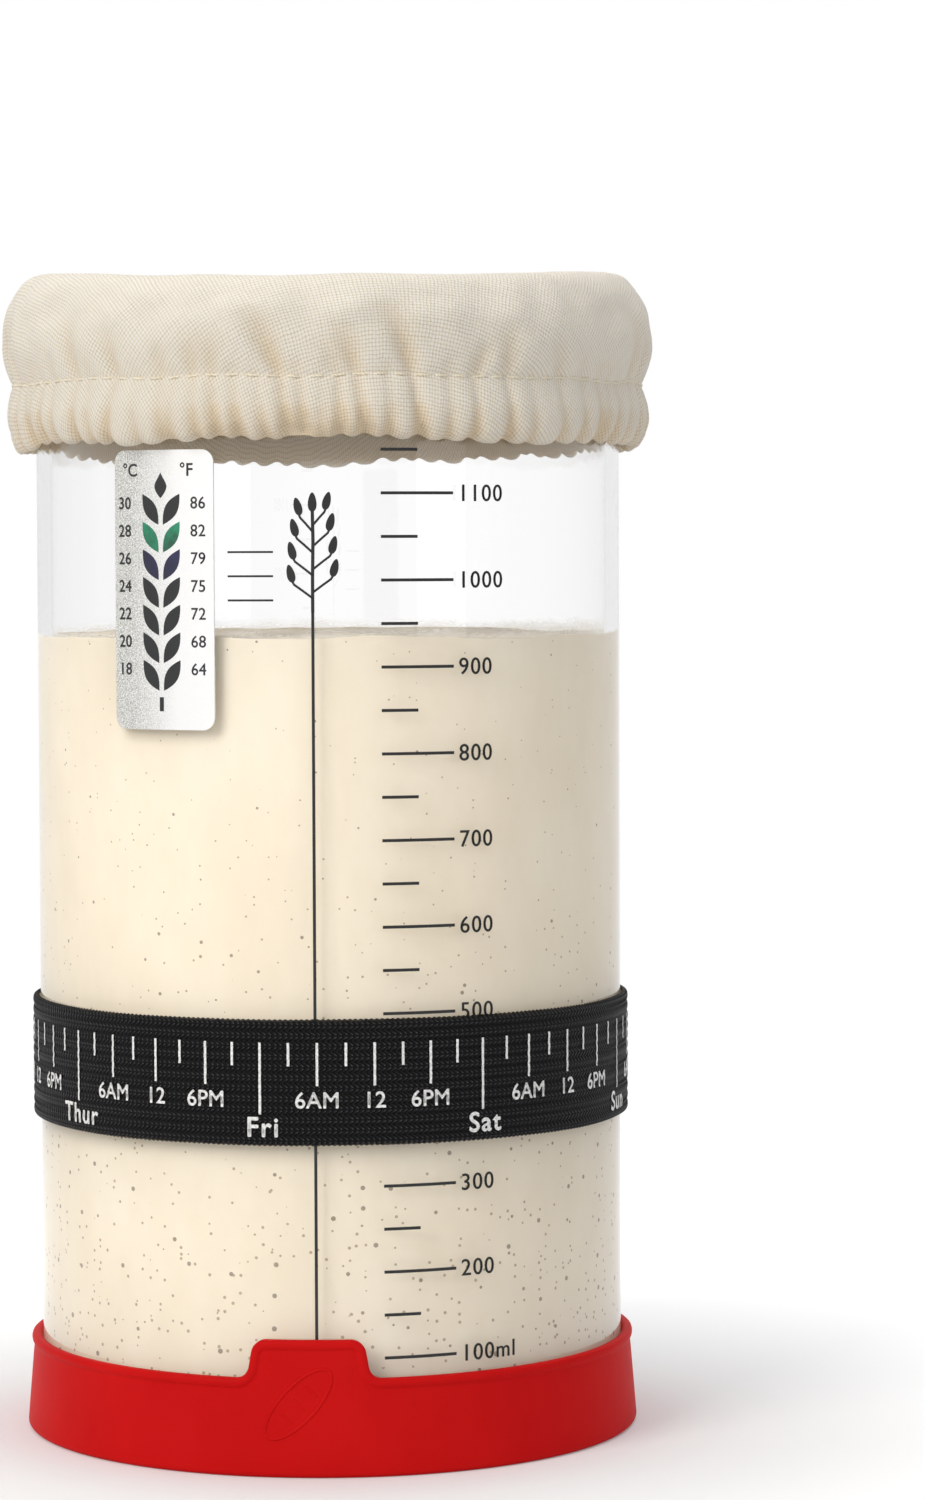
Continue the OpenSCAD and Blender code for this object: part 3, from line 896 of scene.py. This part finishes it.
def bezier(a, b, c, d, steps=10):
    """Points of a cubic curve from a towards d, without d itself."""
    out = []
    for i in range(steps):
        t = i / steps
        k = ((1 - t) ** 3, 3 * t * (1 - t) ** 2, 3 * t * t * (1 - t), t ** 3)
        out.append(tuple(sum(w * p[axis] for w, p in zip(k, (a, b, c, d))) for axis in (0, 1)))
    return out


def thermometer_cells():
    """The crystal cells, each in its own tint: the row at the room's warmth glows green."""
    first = ROW_FOOT - CARD_H / 2
    tints = {5: ("#1FA577", "#123E2E"), 4: ("#1B1B52", "#0B0B22")}
    parts = []

    def cell(outline, dark, glow):
        bm = bmesh.new()
        flat_shape(bm, outline)
        slice_flat(bm, 0, 0.5)
        slice_flat(bm, 1, 0.8)
        thicken(bm, 0.02)
        layer = bm.loops.layers.float_color.new("tint")
        xs = [v.co.x for v in bm.verts]
        ys = [v.co.y for v in bm.verts]
        for face in bm.faces:
            for loop in face.loops:
                across = (loop.vert.co.x - min(xs)) / (max(xs) - min(xs))
                up = (loop.vert.co.y - min(ys)) / (max(ys) - min(ys))
                # Painted sheen: each cell runs from its darker tint at the lower left to its lighter
                # tint at the upper right
                share = max(0.0, min(1.0, 0.15 + 0.9 * (0.6 * up + 0.4 * across)))
                loop[layer] = [d + (g - d) * share for d, g in zip(linear(dark), linear(glow))]
        wrap(bm, CARD_ANGLE, CARD_Z, CARD_OUT)
        parts.append(bm)

    for i in range(7):
        glow, dark = tints.get(i, ("#15171A", "#0A0B0D"))
        for side in (-1, 1):
            leaf = bezier((-1.6, 2.5), (-1.72, -0.3), (-1.0, -1.4), (1.6, -2.5))
            leaf += bezier((1.6, -2.5), (1.72, 0.3), (1.0, 1.4), (-1.6, 2.5))
            middle = first + ROW_RISE * i + 0.25
            cell([(side * (2.05 - x), middle + y) for x, y in leaf], dark, glow)
    bud = bezier((0, 2.15), (0.45, 1.2), (1.1, 0.6), (1.2, -0.1))
    bud += bezier((1.2, -0.1), (1.1, -0.9), (0.5, -1.6), (0, -2.05))
    bud += [(0, -2.05)] + [(-x, y) for x, y in bud[:0:-1]]
    cell([(x, y + first + 6 * ROW_RISE + 4.1) for x, y in bud], "#0A0B0D", "#1A1C1F")
    low = first - 5.6
    cell([(-0.4, low), (0.4, low), (0.4, low + 2.3), (-0.4, low + 2.3)], "#0A0B0D", "#15171A")
    new_piece("crystal_leaves", join(parts), CELLS, "jar", ["thermometer_cells"])


def thermometer_numerals():
    """Degrees on both sides of the cells: Celsius at the left, Fahrenheit at the right."""
    first = ROW_FOOT - CARD_H / 2
    parts = []
    rows = zip((18, 20, 22, 24, 26, 28, 30), (64, 68, 72, 75, 79, 82, 86))
    for i, (celsius, fahrenheit) in enumerate(rows):
        for text, x in ((str(celsius), -7.5), (str(fahrenheit), 7.0)):
            bm = lettering(text, 1.87, 0.055 if x < 0 else 0.03, 1.04)
            bmesh.ops.translate(bm, verts=bm.verts, vec=(x, first + ROW_RISE * i + 0.35, 0))
            parts.append(bm)
    for text, x in (("°C", -6.3), ("°F", 4.9)):
        bm = lettering(text, 2.0, 0.05, 1.0)
        bmesh.ops.translate(bm, verts=bm.verts, vec=(x, 18.5, 0))
        parts.append(bm)
    bm = join(parts)
    thicken(bm, 0.02)
    wrap(bm, CARD_ANGLE, CARD_Z, CARD_OUT)
    new_piece("card_numerals", bm, CARD_INK, "jar")


thermometer_card()
thermometer_cells()
thermometer_numerals()


# Silicone boot

def fillet_path(corners, radii, step=0.5):
    """A path of (x, y) points with rounded corners."""
    pts = [Vector(c) for c in corners]
    path = [pts[0]]
    for i in range(1, len(pts) - 1):
        a = (pts[i - 1] - pts[i]).normalized()
        b = (pts[i + 1] - pts[i]).normalized()
        half = a.angle(b) / 2
        reach = radii[i - 1] / math.tan(half)
        centre = pts[i] + (a + b).normalized() * (radii[i - 1] / math.sin(half))
        start = pts[i] + a * reach - centre
        end = pts[i] + b * reach - centre
        turn = start.angle_signed(end)
        steps = max(4, int(abs(turn) * radii[i - 1] / step) + 2)
        for k in range(steps + 1):
            t = -turn * k / steps
            c, s = math.cos(t), math.sin(t)
            path.append(centre + Vector((start.x * c - start.y * s, start.x * s + start.y * c)))
    path.append(pts[-1])
    return path


def silicone_boot():
    """The boot as one moulded skin: a round bead follows its edge and climbs over the tab."""
    r_path = BOOT_OUT
    tab_top = BOOT_H + TAB_RISE
    lean = math.tan(math.radians(10))
    half_top = 17.6 / 2 + 0.35
    half_foot = half_top + TAB_RISE * lean
    around = math.pi * r_path
    tab = fillet_path([(-half_foot - 8, BOOT_H), (-half_foot, BOOT_H), (-half_top, tab_top),
                       (half_top, tab_top), (half_foot, BOOT_H), (half_foot + 8, BOOT_H)],
                      [2.2, 2.6, 2.6, 2.2], 0.35)
    rest = np.linspace(half_foot + 8, 2 * around - half_foot - 8, 230)[1:-1]
    dense = []
    for a, b in zip(tab, tab[1:]):
        n = max(1, int((b - a).length / 1.2))
        dense += [a.lerp(b, k / n) for k in range(n)]
    path = dense + [tab[-1]] + [Vector((x, BOOT_H)) for x in rest]
    n = len(path)
    normals = []
    for i, p in enumerate(path):
        ahead = path[(i + 1) % n].copy()
        back = path[(i - 1) % n].copy()
        if i == n - 1:
            ahead.x += 2 * around
        if i == 0:
            back.x -= 2 * around
        d = (ahead - back).normalized()
        normals.append(Vector((-d.y, d.x)))

    def at(p, r):
        return on_jar(BOOT_TURN + math.degrees(p.x / r_path), r, p.y)

    def edge_row(inset, r):
        return [at(p - nrm * inset, r) for p, nrm in zip(path, normals)]

    def ring(r, z):
        return [at(Vector((p.x, z)), r) for p in path]

    def flare(z):
        share = max(0.0, min(1.0, (BOOT_H - BEAD_H - z) / (BOOT_H - BEAD_H - 1.0)))
        return BOOT_OUT + (FOOT_R - BOOT_OUT) * share

    rows = [ring(0.01, JAR_FOOT), ring(30, JAR_FOOT)]
    rows += [ring(r, z) for r, z in arc(BOOT_IN - 4, JAR_FOOT + 4, 4, -90, 0, 6)]
    rows.append([at(Vector((p.x - nrm.x * 2.4, min(p.y - nrm.y * 2.4, p.y))), BOOT_IN)
                 for p, nrm in zip(path, normals)])
    bead = BOOT_OUT + 0.38
    for inset, r in ((0.45, BOOT_IN), (0.14, BOOT_IN + 0.13), (0.0, BOOT_IN + 0.45),
                     (0.0, BOOT_IN + 0.95), (0.10, BOOT_OUT + 0.02), (0.32, bead - 0.10),
                     (0.62, bead - 0.01), (0.90, bead), (1.20, bead - 0.06), (1.45, bead - 0.20),
                     (1.60, BOOT_OUT + 0.04), (1.75, BOOT_OUT - 0.02), (2.1, BOOT_OUT)):
        rows.append(edge_row(inset, r))
    low = [p - nrm * 2.1 for p, nrm in zip(path, normals)]
    for share in (0.15, 0.3, 0.5, 0.7, 0.85, 1.0):
        down = [Vector((p.x, p.y + (1.0 - p.y) * share)) for p in low]
        rows.append([at(p, flare(p.y)) for p in down])
    rows += [ring(r, z) for r, z in arc(FOOT_R - 1.0, 1.0, 1.0, 0, -90, 6)[1:]]
    rows += [ring(40, 0.0), ring(0.01, 0.0)]
    bm = skin(rows)
    bmesh.ops.remove_doubles(bm, verts=bm.verts, dist=0.012)
    new_piece("boot_moulded", bm, SILICONE, "boot", ["silicone_boot"], sharp=50)

    # The thumb grip: a slanting oval rim with three plain ribs across it
    turn = math.radians(47)

    def raised(x, y, out):
        px = x * math.cos(turn) - y * math.sin(turn) - 1.6
        z = x * math.sin(turn) + y * math.cos(turn) + 12.0
        return on_jar(BOOT_TURN + math.degrees(px / r_path), flare(z) + out, z)

    rim = [(-0.10, -0.30), (0.0, 0.0), (0.10, 0.13), (0.28, 0.20), (0.46, 0.13), (0.56, 0.0),
           (0.66, -0.30)]
    rows = []
    for inset, out in rim + rim[:1]:
        rows.append([raised((7.6 - inset) * math.cos(t), (3.1 - inset) * math.sin(t), out)
                     for t in [2 * math.pi * k / 96 for k in range(96)]])
    bm = skin(rows)
    bmesh.ops.remove_doubles(bm, verts=bm.verts, dist=1e-4)
    parts = [bm]
    for middle in (-3.0, 0.0, 3.0):
        rows = []
        for step in range(9):
            share = step / 4 - 1
            y = 1.7 * share
            size = max(0.15, math.sqrt(1 - min(1.0, abs(share)) ** 4))
            turns = [2 * math.pi * k / 8 for k in range(8)]
            rows.append([raised(middle + 0.26 * size * math.cos(t), y,
                                0.16 * size * math.sin(t) - 0.02) for t in turns])
        parts.append(bar(rows))
    new_piece("boot_thumb_grip", join(parts), SILICONE, "boot", sharp=60)


silicone_boot()


# Marker band

STITCHES = 362


def rib_relief(z):
    """How far the knit stands below its crests at a height."""
    share = min(max((z - BAND_FOOT) / BAND_W, 0.0), 1.0) * RIBS
    off = abs(share - math.floor(min(share, RIBS - 1e-6)) - 0.5) * 2
    return -0.24 * off ** 2.4


def knit_uv(bm):
    """Writes stitches along and ribs up, so that the loops line up on the web and its print."""
    layer = bm.loops.layers.uv.get("weave") or bm.loops.layers.uv.new("weave")
    for face in bm.faces:
        turns = []
        for loop in face.loops:
            p = loop.vert.co
            turns.append(math.atan2(p.x, -p.y) / (2 * math.pi))
        for loop, turn in zip(face.loops, turns):
            if turn - min(turns) > 0.5:
                turn -= 1
            height = (loop.vert.co.z - BAND_FOOT) / BAND_W * RIBS
            loop[layer].uv = (turn * STITCHES, height)


def band_webbing():
    """The knitted web: twelve round ribs, with a loop standing out at each stitch of its edges."""
    columns = 2 * STITCHES
    section = [(BAND_IN, BAND_FOOT + 0.25), (BAND_IN + 0.25, BAND_FOOT + 0.02)]
    for i in range(RIBS):
        for off in (0.0, 0.22, 0.5, 0.78):
            if i == 0 and off == 0.0:
                continue
            z = BAND_FOOT + (i + off) * RIB_RISE
            section.append((BAND_OUT + rib_relief(z), z))
    section += [(BAND_IN + 0.25, BAND_FOOT + BAND_W - 0.02), (BAND_IN, BAND_FOOT + BAND_W - 0.25)]
    last = len(section) - 1
    rows = []
    for j, (r, z) in enumerate(section):
        row = []
        for i in range(columns):
            a = 360 * i / columns
            sway = 0.10 * math.sin(math.radians(3 * a + 40)) + 0.05 * math.sin(math.radians(11 * a))
            loop = 0.05 if (i + int(z / RIB_RISE)) % 2 else -0.05
            edge = 0.0
            if j <= 2:
                edge = -0.13 if i % 2 else 0.06
            if j >= last - 2:
                edge = 0.13 if i % 2 else -0.06
            row.append(on_jar(a, r + (loop if 1 < j < last - 1 else 0), z + edge + sway * 0.5))
        rows.append(row)
    bm = skin(rows)
    knit_uv(bm)
    new_piece("band_knit", bm, KNIT, "band", ["band_webbing"], sharp=80)


def band_lap():
    """The lap at the back: one end laid over the other, with two zigzag rows of black stitches."""
    half = 6.0
    rows = []
    low, high = BAND_FOOT + 0.5, BAND_FOOT + BAND_W - 0.5
    xs = [-half - 0.05, -half, -half + 0.15] + list(np.linspace(-half + 0.5, half - 0.5, 27))
    xs += [half - 0.15, half, half + 0.05]
    for j in range(RIBS * 4 + 1):
        z = low + (high - low) * j / (RIBS * 4)
        row = []
        for k, x in enumerate(xs):
            out = LAP_OUT + rib_relief(z)
            if k in (0, len(xs) - 1) or j in (0, RIBS * 4):
                out = BAND_OUT - 0.35
            elif k in (1, len(xs) - 2):
                out = BAND_OUT + 0.35 + rib_relief(z)
            row.append(on_jar(LAP_ANGLE + math.degrees(x / BAND_OUT), out, z))
        rows.append(row)
    bm = skin(rows, close=False)
    knit_uv(bm)
    new_piece("band_lap", bm, KNIT, "band", sharp=80)
    stitches = []

    def sew(*ends):
        points = [on_jar(LAP_ANGLE + math.degrees(x / BAND_OUT), LAP_OUT + 0.08, z) for x, z in ends]
        stitches.append(thread_stitch(*points, 0.16))

    for x0 in (-4.6, 4.6):
        z = low + 0.8
        while z < high - 1.2:
            sew((x0 - 0.55, z), (x0 + 0.55, z + 0.55))
            sew((x0 + 0.55, z + 0.55), (x0 - 0.55, z + 1.1))
            z += 1.1
    new_piece("lap_stitches", join(stitches), BLACK_THREAD, "band", sharp=80)


def thread_stitch(start, end, radius):
    """One sewn stitch: a short round bar that dives into the cloth at both ends."""
    axis = end - start
    out = Vector((start.x + end.x, start.y + end.y, 0)).normalized()
    side = axis.cross(out).normalized()
    rows = []
    for share, lift, size in ((0.0, -1.2, 0.5), (0.10, -0.1, 0.9), (0.3, 0.5, 1.0), (0.7, 0.5, 1.0),
                              (0.90, -0.1, 0.9), (1.0, -1.2, 0.5)):
        middle = start + axis * share + out * (lift * radius)
        rows.append([middle + (side * math.cos(t) + out * math.sin(t)) * radius * size
                     for t in [2 * math.pi * k / 6 for k in range(6)]])
    return bar(rows)


def band_print():
    """White marks for every three hours, with the days and the hours under them."""
    top = 70.8
    days = {-32: "Mon", -24: "Tue", -16: "Wed", -8: "Thur", 0: "Fri", 8: "Sat", 16: "Sun", 24: ""}
    hours = {2: "6AM", 4: "12", 6: "6PM"}
    seed = random.Random(11)
    parts = []

    def lay(bm, angle, z):
        slice_flat(bm, 1, RIB_RISE / 4)
        thicken(bm, 0.03)
        wrap(bm, angle, z, BAND_OUT + 0.05, lambda up: 0.4 * rib_relief(up))
        parts.append(bm)

    for k in range(-32, 25):
        angle = -10.1 + 5.24 * k
        length = 11.7 if k % 8 == 0 else (7.0 if k % 2 == 0 else 3.8)
        bm = bmesh.new()
        left, right = [], []
        for i in range(int(length / 0.4) + 1):
            y = -length * i / int(length / 0.4)
            left.append((-0.21 + seed.uniform(-0.02, 0.02), y))
            right.append((0.21 + seed.uniform(-0.02, 0.02), y))
        flat_shape(bm, left + right[::-1])
        lay(bm, angle, top)
        if k in days and days[k]:
            lay(lettering(days[k], 3.1, 0.09, 1.13), angle + 0.45, 55.5)
        elif k % 8 in hours:
            lay(lettering(hours[k % 8], 2.55, 0.045, 1.03), angle, 60.2)
    bm = join(parts)
    knit_uv(bm)
    new_piece("band_print", bm, BAND_INK, "band", sharp=60)


band_webbing()
band_lap()
band_print()


# Cloth cover

SEAM_R = 70.6
SEAM_ON_JAR = 54.2
FOLD_R = 55
FLAT_R = 90.0
COLUMNS = 440
PROFILE = [  # flat radius, radius on the jar, height
    (0, 0, 195.4), (20, 20, 195.6), (36, 36, 196.4), (44, 44, 197.1), (48, 48, 197.3),
    (50.2, 50.1, 196.9), (52, 51.6, 196.0), (54.6, 53.1, 193.9), (58, 54.4, 190.9),
    (61.8, 55.5, 187.2), (65, 55.7, 183.9), (68, 55.0, 181.0), (SEAM_R, SEAM_ON_JAR, 178.3),
    (72.4, 54.5, 176.6), (74.5, 55.0, 174.6), (76.8, 55.3, 172.3), (79, 55.0, 170.2),
    (80.6, 54.2, 168.8), (82, 53.0, 168.0), (83.3, 51.7, 168.2), (84.4, 50.9, 169.2),
    (86, 50.6, 171), (88, 50.6, 173), (FLAT_R, 50.6, 175)]
FRONT_FOLDS = [  # angle, rise, lean and depth over the seam, lean and depth under it
    (-54, 4, -0.5, 0.5, 0.0, 0.6), (-47, 10, -0.8, 0.9, -0.4, 0.7), (-43, 3, 0.0, 0.4, 0.3, 0.5),
    (-36.5, 7.5, -1.0, 0.9, -2.2, 0.7), (-32, 3, 0.0, 0.3, 0.0, 0.4), (-27, 5.3, 0.0, 0.8, 0.0, 0.4),
    (-24.5, 2, 0.0, 0.3, -0.6, 0.5), (-21, 6.9, 0.6, 0.9, 0.8, 0.5), (-17.5, 6.8, 0.9, 0.9, 1.1, 1.1),
    (-13.6, 2.5, 0.2, 0.4, 1.1, 1.2), (-9.3, 2.5, -0.5, 0.3, 1.4, 0.7),
    (-5.3, 10.5, -4.3, 1.3, 1.5, 1.1), (-2, 3, -1.0, 0.6, 1.0, 1.2), (2, 2, 0.0, 0.2, 0.0, 0.5),
    (4.7, 6, -2.6, 0.7, 0.5, 1.2), (7.9, 8, -2.6, 1.2, 1.6, 1.2), (13.4, 2.5, 0.0, 0.3, 0.2, 0.8),
    (17.6, 12, -4.0, 1.2, 1.6, 1.1), (24, 4, 0.6, 0.4, 0.2, 0.5), (29.2, 5.5, 2.0, 0.9, -0.3, 0.6),
    (35.5, 8.5, 0.0, 0.8, 0.5, 0.8), (40.5, 2, 0.0, 0.2, 0.4, 0.5), (47.7, 6.5, -1.6, 0.6, 0.5, 0.5),
    (54, 4, -0.6, 0.5, 0.0, 0.6)]


def fold_table():
    """The folds round the seam: those of the photograph at the front, uneven ones behind."""
    seed = random.Random(5)
    folds = list(FRONT_FOLDS)
    angle = 59.0
    while angle < 302:
        tall = seed.random() < 0.4
        rise = seed.uniform(6, 12) if tall else seed.uniform(2, 4)
        depth = seed.uniform(0.7, 1.2) if tall else seed.uniform(0.2, 0.5)
        folds.append((angle, rise, seed.uniform(-3.5, 3.5) * rise / 12, depth,
                      seed.uniform(-1.2, 1.2), seed.uniform(0.4, 1.2)))
        angle += seed.uniform(3.2, 6.2)
    return folds


def fold_depth(angles, rho):
    """How far the folds draw the cloth in round one ring of it, from 0 at their crests."""
    total = np.zeros(len(angles))
    over = SEAM_R - rho
    under = min(-over, 10.5)
    fade = float(np.interp(rho, [76, 80, 81.5, 83.5, 86, FLAT_R], [1, 1.3, 1.2, 0.5, 0.1, 0.1]))
    for angle, rise, lean, depth, lean_down, depth_down in FOLDS:
        if over >= 0:
            centre = angle + math.degrees(lean / FOLD_R) * over / rise
            tail = max(0.0, 1 - (over / (rise * 1.15)) ** 1.6)
            deep = 1.3 * depth * min(0.45 + over / 3, 1.0) * tail
            wide = 0.9 + 0.13 * over
        else:
            centre = angle + math.degrees(lean_down / FOLD_R) * under / 10.5
            deep = (0.45 * depth + depth_down * (0.25 + 0.95 * (under / 10.5) ** 1.3)) * fade
            wide = 0.75 + 0.045 * under
        away = np.radians((angles - centre + 180) % 360 - 180) * FOLD_R
        if over >= 0:
            total += deep * np.exp(-(away / wide) ** 2 / 1.6)
        else:
            total += deep / (1 + (away / wide) ** 2) ** 1.4
    return total


FOLDS = fold_table()


def cloth_cover():
    """A round of cotton linen, gathered on its elastic over the mouth of the jar. The casing is
    sewn, so it is held; the puff above it settles by simulation."""
    radii = [0.0, 7, 14, 20, 26, 31, 35.5, 39.5, 42.5, 45, 47, 48.6, 50, 51.2, 52.4, 53.7]
    radii += list(np.arange(55.0, SEAM_R - 0.6, 1.2)) + [SEAM_R - 0.5, SEAM_R, SEAM_R + 0.5]
    radii += [72.0, 73, 74, 75, 76, 77, 78, 79, 79.8, 80.6, 81.4, 82.2, 83.0, 84.0, 86.0, FLAT_R]
    flat = [p[0] for p in PROFILE]
    angles = np.arange(COLUMNS) * 360 / COLUMNS
    ways = [Vector((math.cos(math.radians(a)), math.sin(math.radians(a)), 0)) for a in angles]
    start, laid, folds = [], [], []
    hem_folds = np.minimum(fold_depth(angles, 80.5), 1.5)
    for rho in radii:
        r = float(np.interp(rho, flat, [p[1] for p in PROFILE]))
        z = float(np.interp(rho, flat, [p[2] for p in PROFILE]))
        drawn = fold_depth(angles, rho)
        broad = float(np.interp(rho, [0, 40, 52, 60, 66, SEAM_R, 74, 80, 83],
                                [0, 0.3, 0.8, 1.0, 0.6, 0.2, 0.5, 0.6, 0]))
        hem = float(np.interp(rho, [74, 78, 80.5, 82, 83.5, 86], [0, 0.35, 1, 1, 0.6, 0]))
        sewn = 0.45 * math.exp(-abs(rho - SEAM_R) / 0.7)
        row, flat_row, painted_shade_row = [], [], []
        for i in range(COLUMNS):
            a = float(angles[i])
            front = math.cos(math.radians(a))
            crown = 0.26 * max(0.0, front) ** 2 + 0.10 * max(0.0, -front) ** 2
            crown = 0.13 + (crown - 0.13) * min(1.0, rho / 42) ** 2
            high = z - max(0.0, z - 187) * crown
            slow = noise.noise(ways[i] * 2.9 + Vector((0, 0, 3 + rho * 0.03)))
            quick = noise.noise(ways[i] * 8.5 + Vector((0, 0, rho * 0.16)))
            waver = 0.8 * noise.noise(ways[i] * 3.6 + Vector((9, 0, 0)))
            waver *= float(np.interp(rho, [50, SEAM_R, 80], [0, 1, 0.3]))
            out = broad * (1.3 * slow + 0.9 * quick) - drawn[i] - sewn
            low = 1.5 * max(0.0, -front) ** 0.5 + 0.9 * max(0.0, math.cos(math.radians(a + 138)))
            drop = hem * (0.9 * hem_folds[i] - 0.6 - low + 1.2 * noise.noise(ways[i] * 2.2))
            top = 0.5 * slow * float(np.interp(rho, [20, 40, 50, 56], [0.2, 1, 1, 0]))
            if rho > 83:
                out *= 0.3
            elif rho > 66:
                out = max(out, 51.75 - r)
            row.append(on_jar(a, max(r + out, 0.0) if rho else 0.0, high + drop + waver + top))
            flat_row.append(on_jar(a, rho, 0))
            # Painted shade for the folds, deeper below the seam; the inside of the turned hem is
            # painted fully shaded
            deeper = 0.8 if rho < 76 else 1.4
            shade = max(0.0, min(1.0, deeper * float(drawn[i]) / 1.4))
            painted_shade_row.append(1.0 if rho > 82.5 else shade)
        start.append(row)
        laid.append(flat_row)
        folds.append(painted_shade_row)
    points = settle_cloth(start, radii)
    uvs = []
    grain = Matrix.Rotation(math.radians(-14), 3, "Z")
    for flat_row in laid:
        line = [tuple((grain @ p).xy) for p in flat_row]
        uvs.append(line + line[:1])
    bm = skin(points, uvs=uvs)
    # The painted shade of the folds is stored on the points for the cloth's material
    tone = bm.verts.layers.float.new("painted_fold_shade")
    bm.verts.ensure_lookup_table()
    for j, painted_shade_row in enumerate(folds):
        for i, value in enumerate(painted_shade_row):
            bm.verts[j * COLUMNS + i][tone] = value
    # Near the middle the columns merge by eights, so that no point carries too many faces
    around = [bm.verts[COLUMNS + i] for i in range(COLUMNS)]
    merged = {around[i]: around[i - i % 8] for i in range(COLUMNS) if i % 8}
    merged.update({bm.verts[i]: bm.verts[0] for i in range(1, COLUMNS)})
    bmesh.ops.weld_verts(bm, targetmap=merged)
    weave = bm.loops.layers.uv["weave"]
    for face in bm.faces:
        for loop in face.loops:
            if loop.vert.co.xy.length < radii[1] + 0.5:
                loop[weave].uv = (grain @ loop.vert.co).xy
    cover = new_piece("cover_cloth", bm, COTTON, "cover", ["cloth_cover"], sharp=180,
                      recalc=False)
    soft = cover.modifiers.new("soft", "SUBSURF")
    soft.levels = soft.render_levels = 1
    stitches = running_stitch(points[radii.index(SEAM_R)])


def running_stitch(seam):
    """The running stitches that close the casing. Each follows the gathers that it crosses."""
    column = 2 * math.pi * SEAM_ON_JAR / COLUMNS
    seed = random.Random(3)
    parts = []

    def place(at):
        whole = int(at)
        return seam[whole % COLUMNS].lerp(seam[(whole + 1) % COLUMNS], at - whole)

    at = 0.0
    while at < COLUMNS - 2.5 / column:
        long = seed.uniform(2.3, 2.8) / column
        slant = seed.uniform(-0.25, 0.25)
        rows = []
        for share, lift, size in ((0.0, -0.10, 0.5), (0.1, 0.16, 0.9), (0.3, 0.26, 1.0),
                                  (0.5, 0.29, 1.0), (0.7, 0.26, 1.0), (0.9, 0.16, 0.9),
                                  (1.0, -0.10, 0.5)):
            p = place(at + long * share)
            out = Vector((p.x, p.y, 0)).normalized()
            middle = p + out * lift + Vector((0, 0, slant * (share - 0.5)))
            rows.append([middle + (out * math.cos(t) + Vector((0, 0, 1)) * math.sin(t)) * 0.2 * size
                         for t in [2 * math.pi * k / 6 for k in range(6)]])
        parts.append(bar(rows))
        at += 3.4 / column
    return new_piece("casing_stitches", join(parts), CREAM_THREAD, "cover", sharp=80)


def settle_cloth(start, radii):
    """Lets the puff buckle and settle, at ten times its size. Its cloth is cut a little longer
    than its shape, and the folds that it starts with grow out of that slack. The flat top and
    the casing are held, so only the rows next to the puff are laid out with it."""
    grow = 10 * MM
    held_rows = [rho < 40 or rho >= SEAM_R - 0.6 for rho in radii]
    first = held_rows.index(False) - 2
    last = held_rows.index(True, first + 2) + 1
    puff = start[first:last + 1]
    bm = skin([[p * grow for p in row] for row in puff])
    mesh = bpy.data.meshes.new("settling")
    bm.to_mesh(mesh)
    bm.free()
    cloth = bpy.data.objects.new("settling", mesh)
    bpy.context.scene.collection.objects.link(cloth)
    cloth.shape_key_add(name="start")
    slack = cloth.shape_key_add(name="slack")
    for point, p in zip(slack.data, [p for row in puff for p in row]):
        point.co = Vector((p.x * 1.045, p.y * 1.045, p.z)) * grow
    held = cloth.vertex_groups.new(name="held")
    for j in range(len(puff)):
        if held_rows[first + j]:
            held.add(list(range(j * COLUMNS, (j + 1) * COLUMNS)), 1.0, "REPLACE")
    sim = cloth.modifiers.new("hang", "CLOTH")
    way = sim.settings
    way.quality = 5
    way.mass = 0.25
    way.tension_stiffness = way.compression_stiffness = 15
    way.shear_stiffness = 5
    way.bending_stiffness = 1.5
    way.air_damping = 3
    way.vertex_group_mass = "held"
    way.pin_stiffness = 1.0
    way.rest_shape_key = slack
    way.effector_weights.gravity = 0.0
    sim.point_cache.frame_start = 1
    sim.point_cache.frame_end = 40
    scene = bpy.context.scene
    for step in range(1, 19):
        scene.frame_set(step)
    graph = bpy.context.evaluated_depsgraph_get()
    done = [v.co / grow for v in cloth.evaluated_get(graph).to_mesh().vertices]
    scene.frame_set(1)
    bpy.data.objects.remove(cloth)
    out = [list(row) for row in start]
    for j, row in enumerate(puff):
        for i, p in enumerate(row):
            move = done[j * COLUMNS + i] - p
            if move.length > 1.3:
                move = move.normalized() * 1.3
            out[first + j][i] = p + move
    return out


cloth_cover()
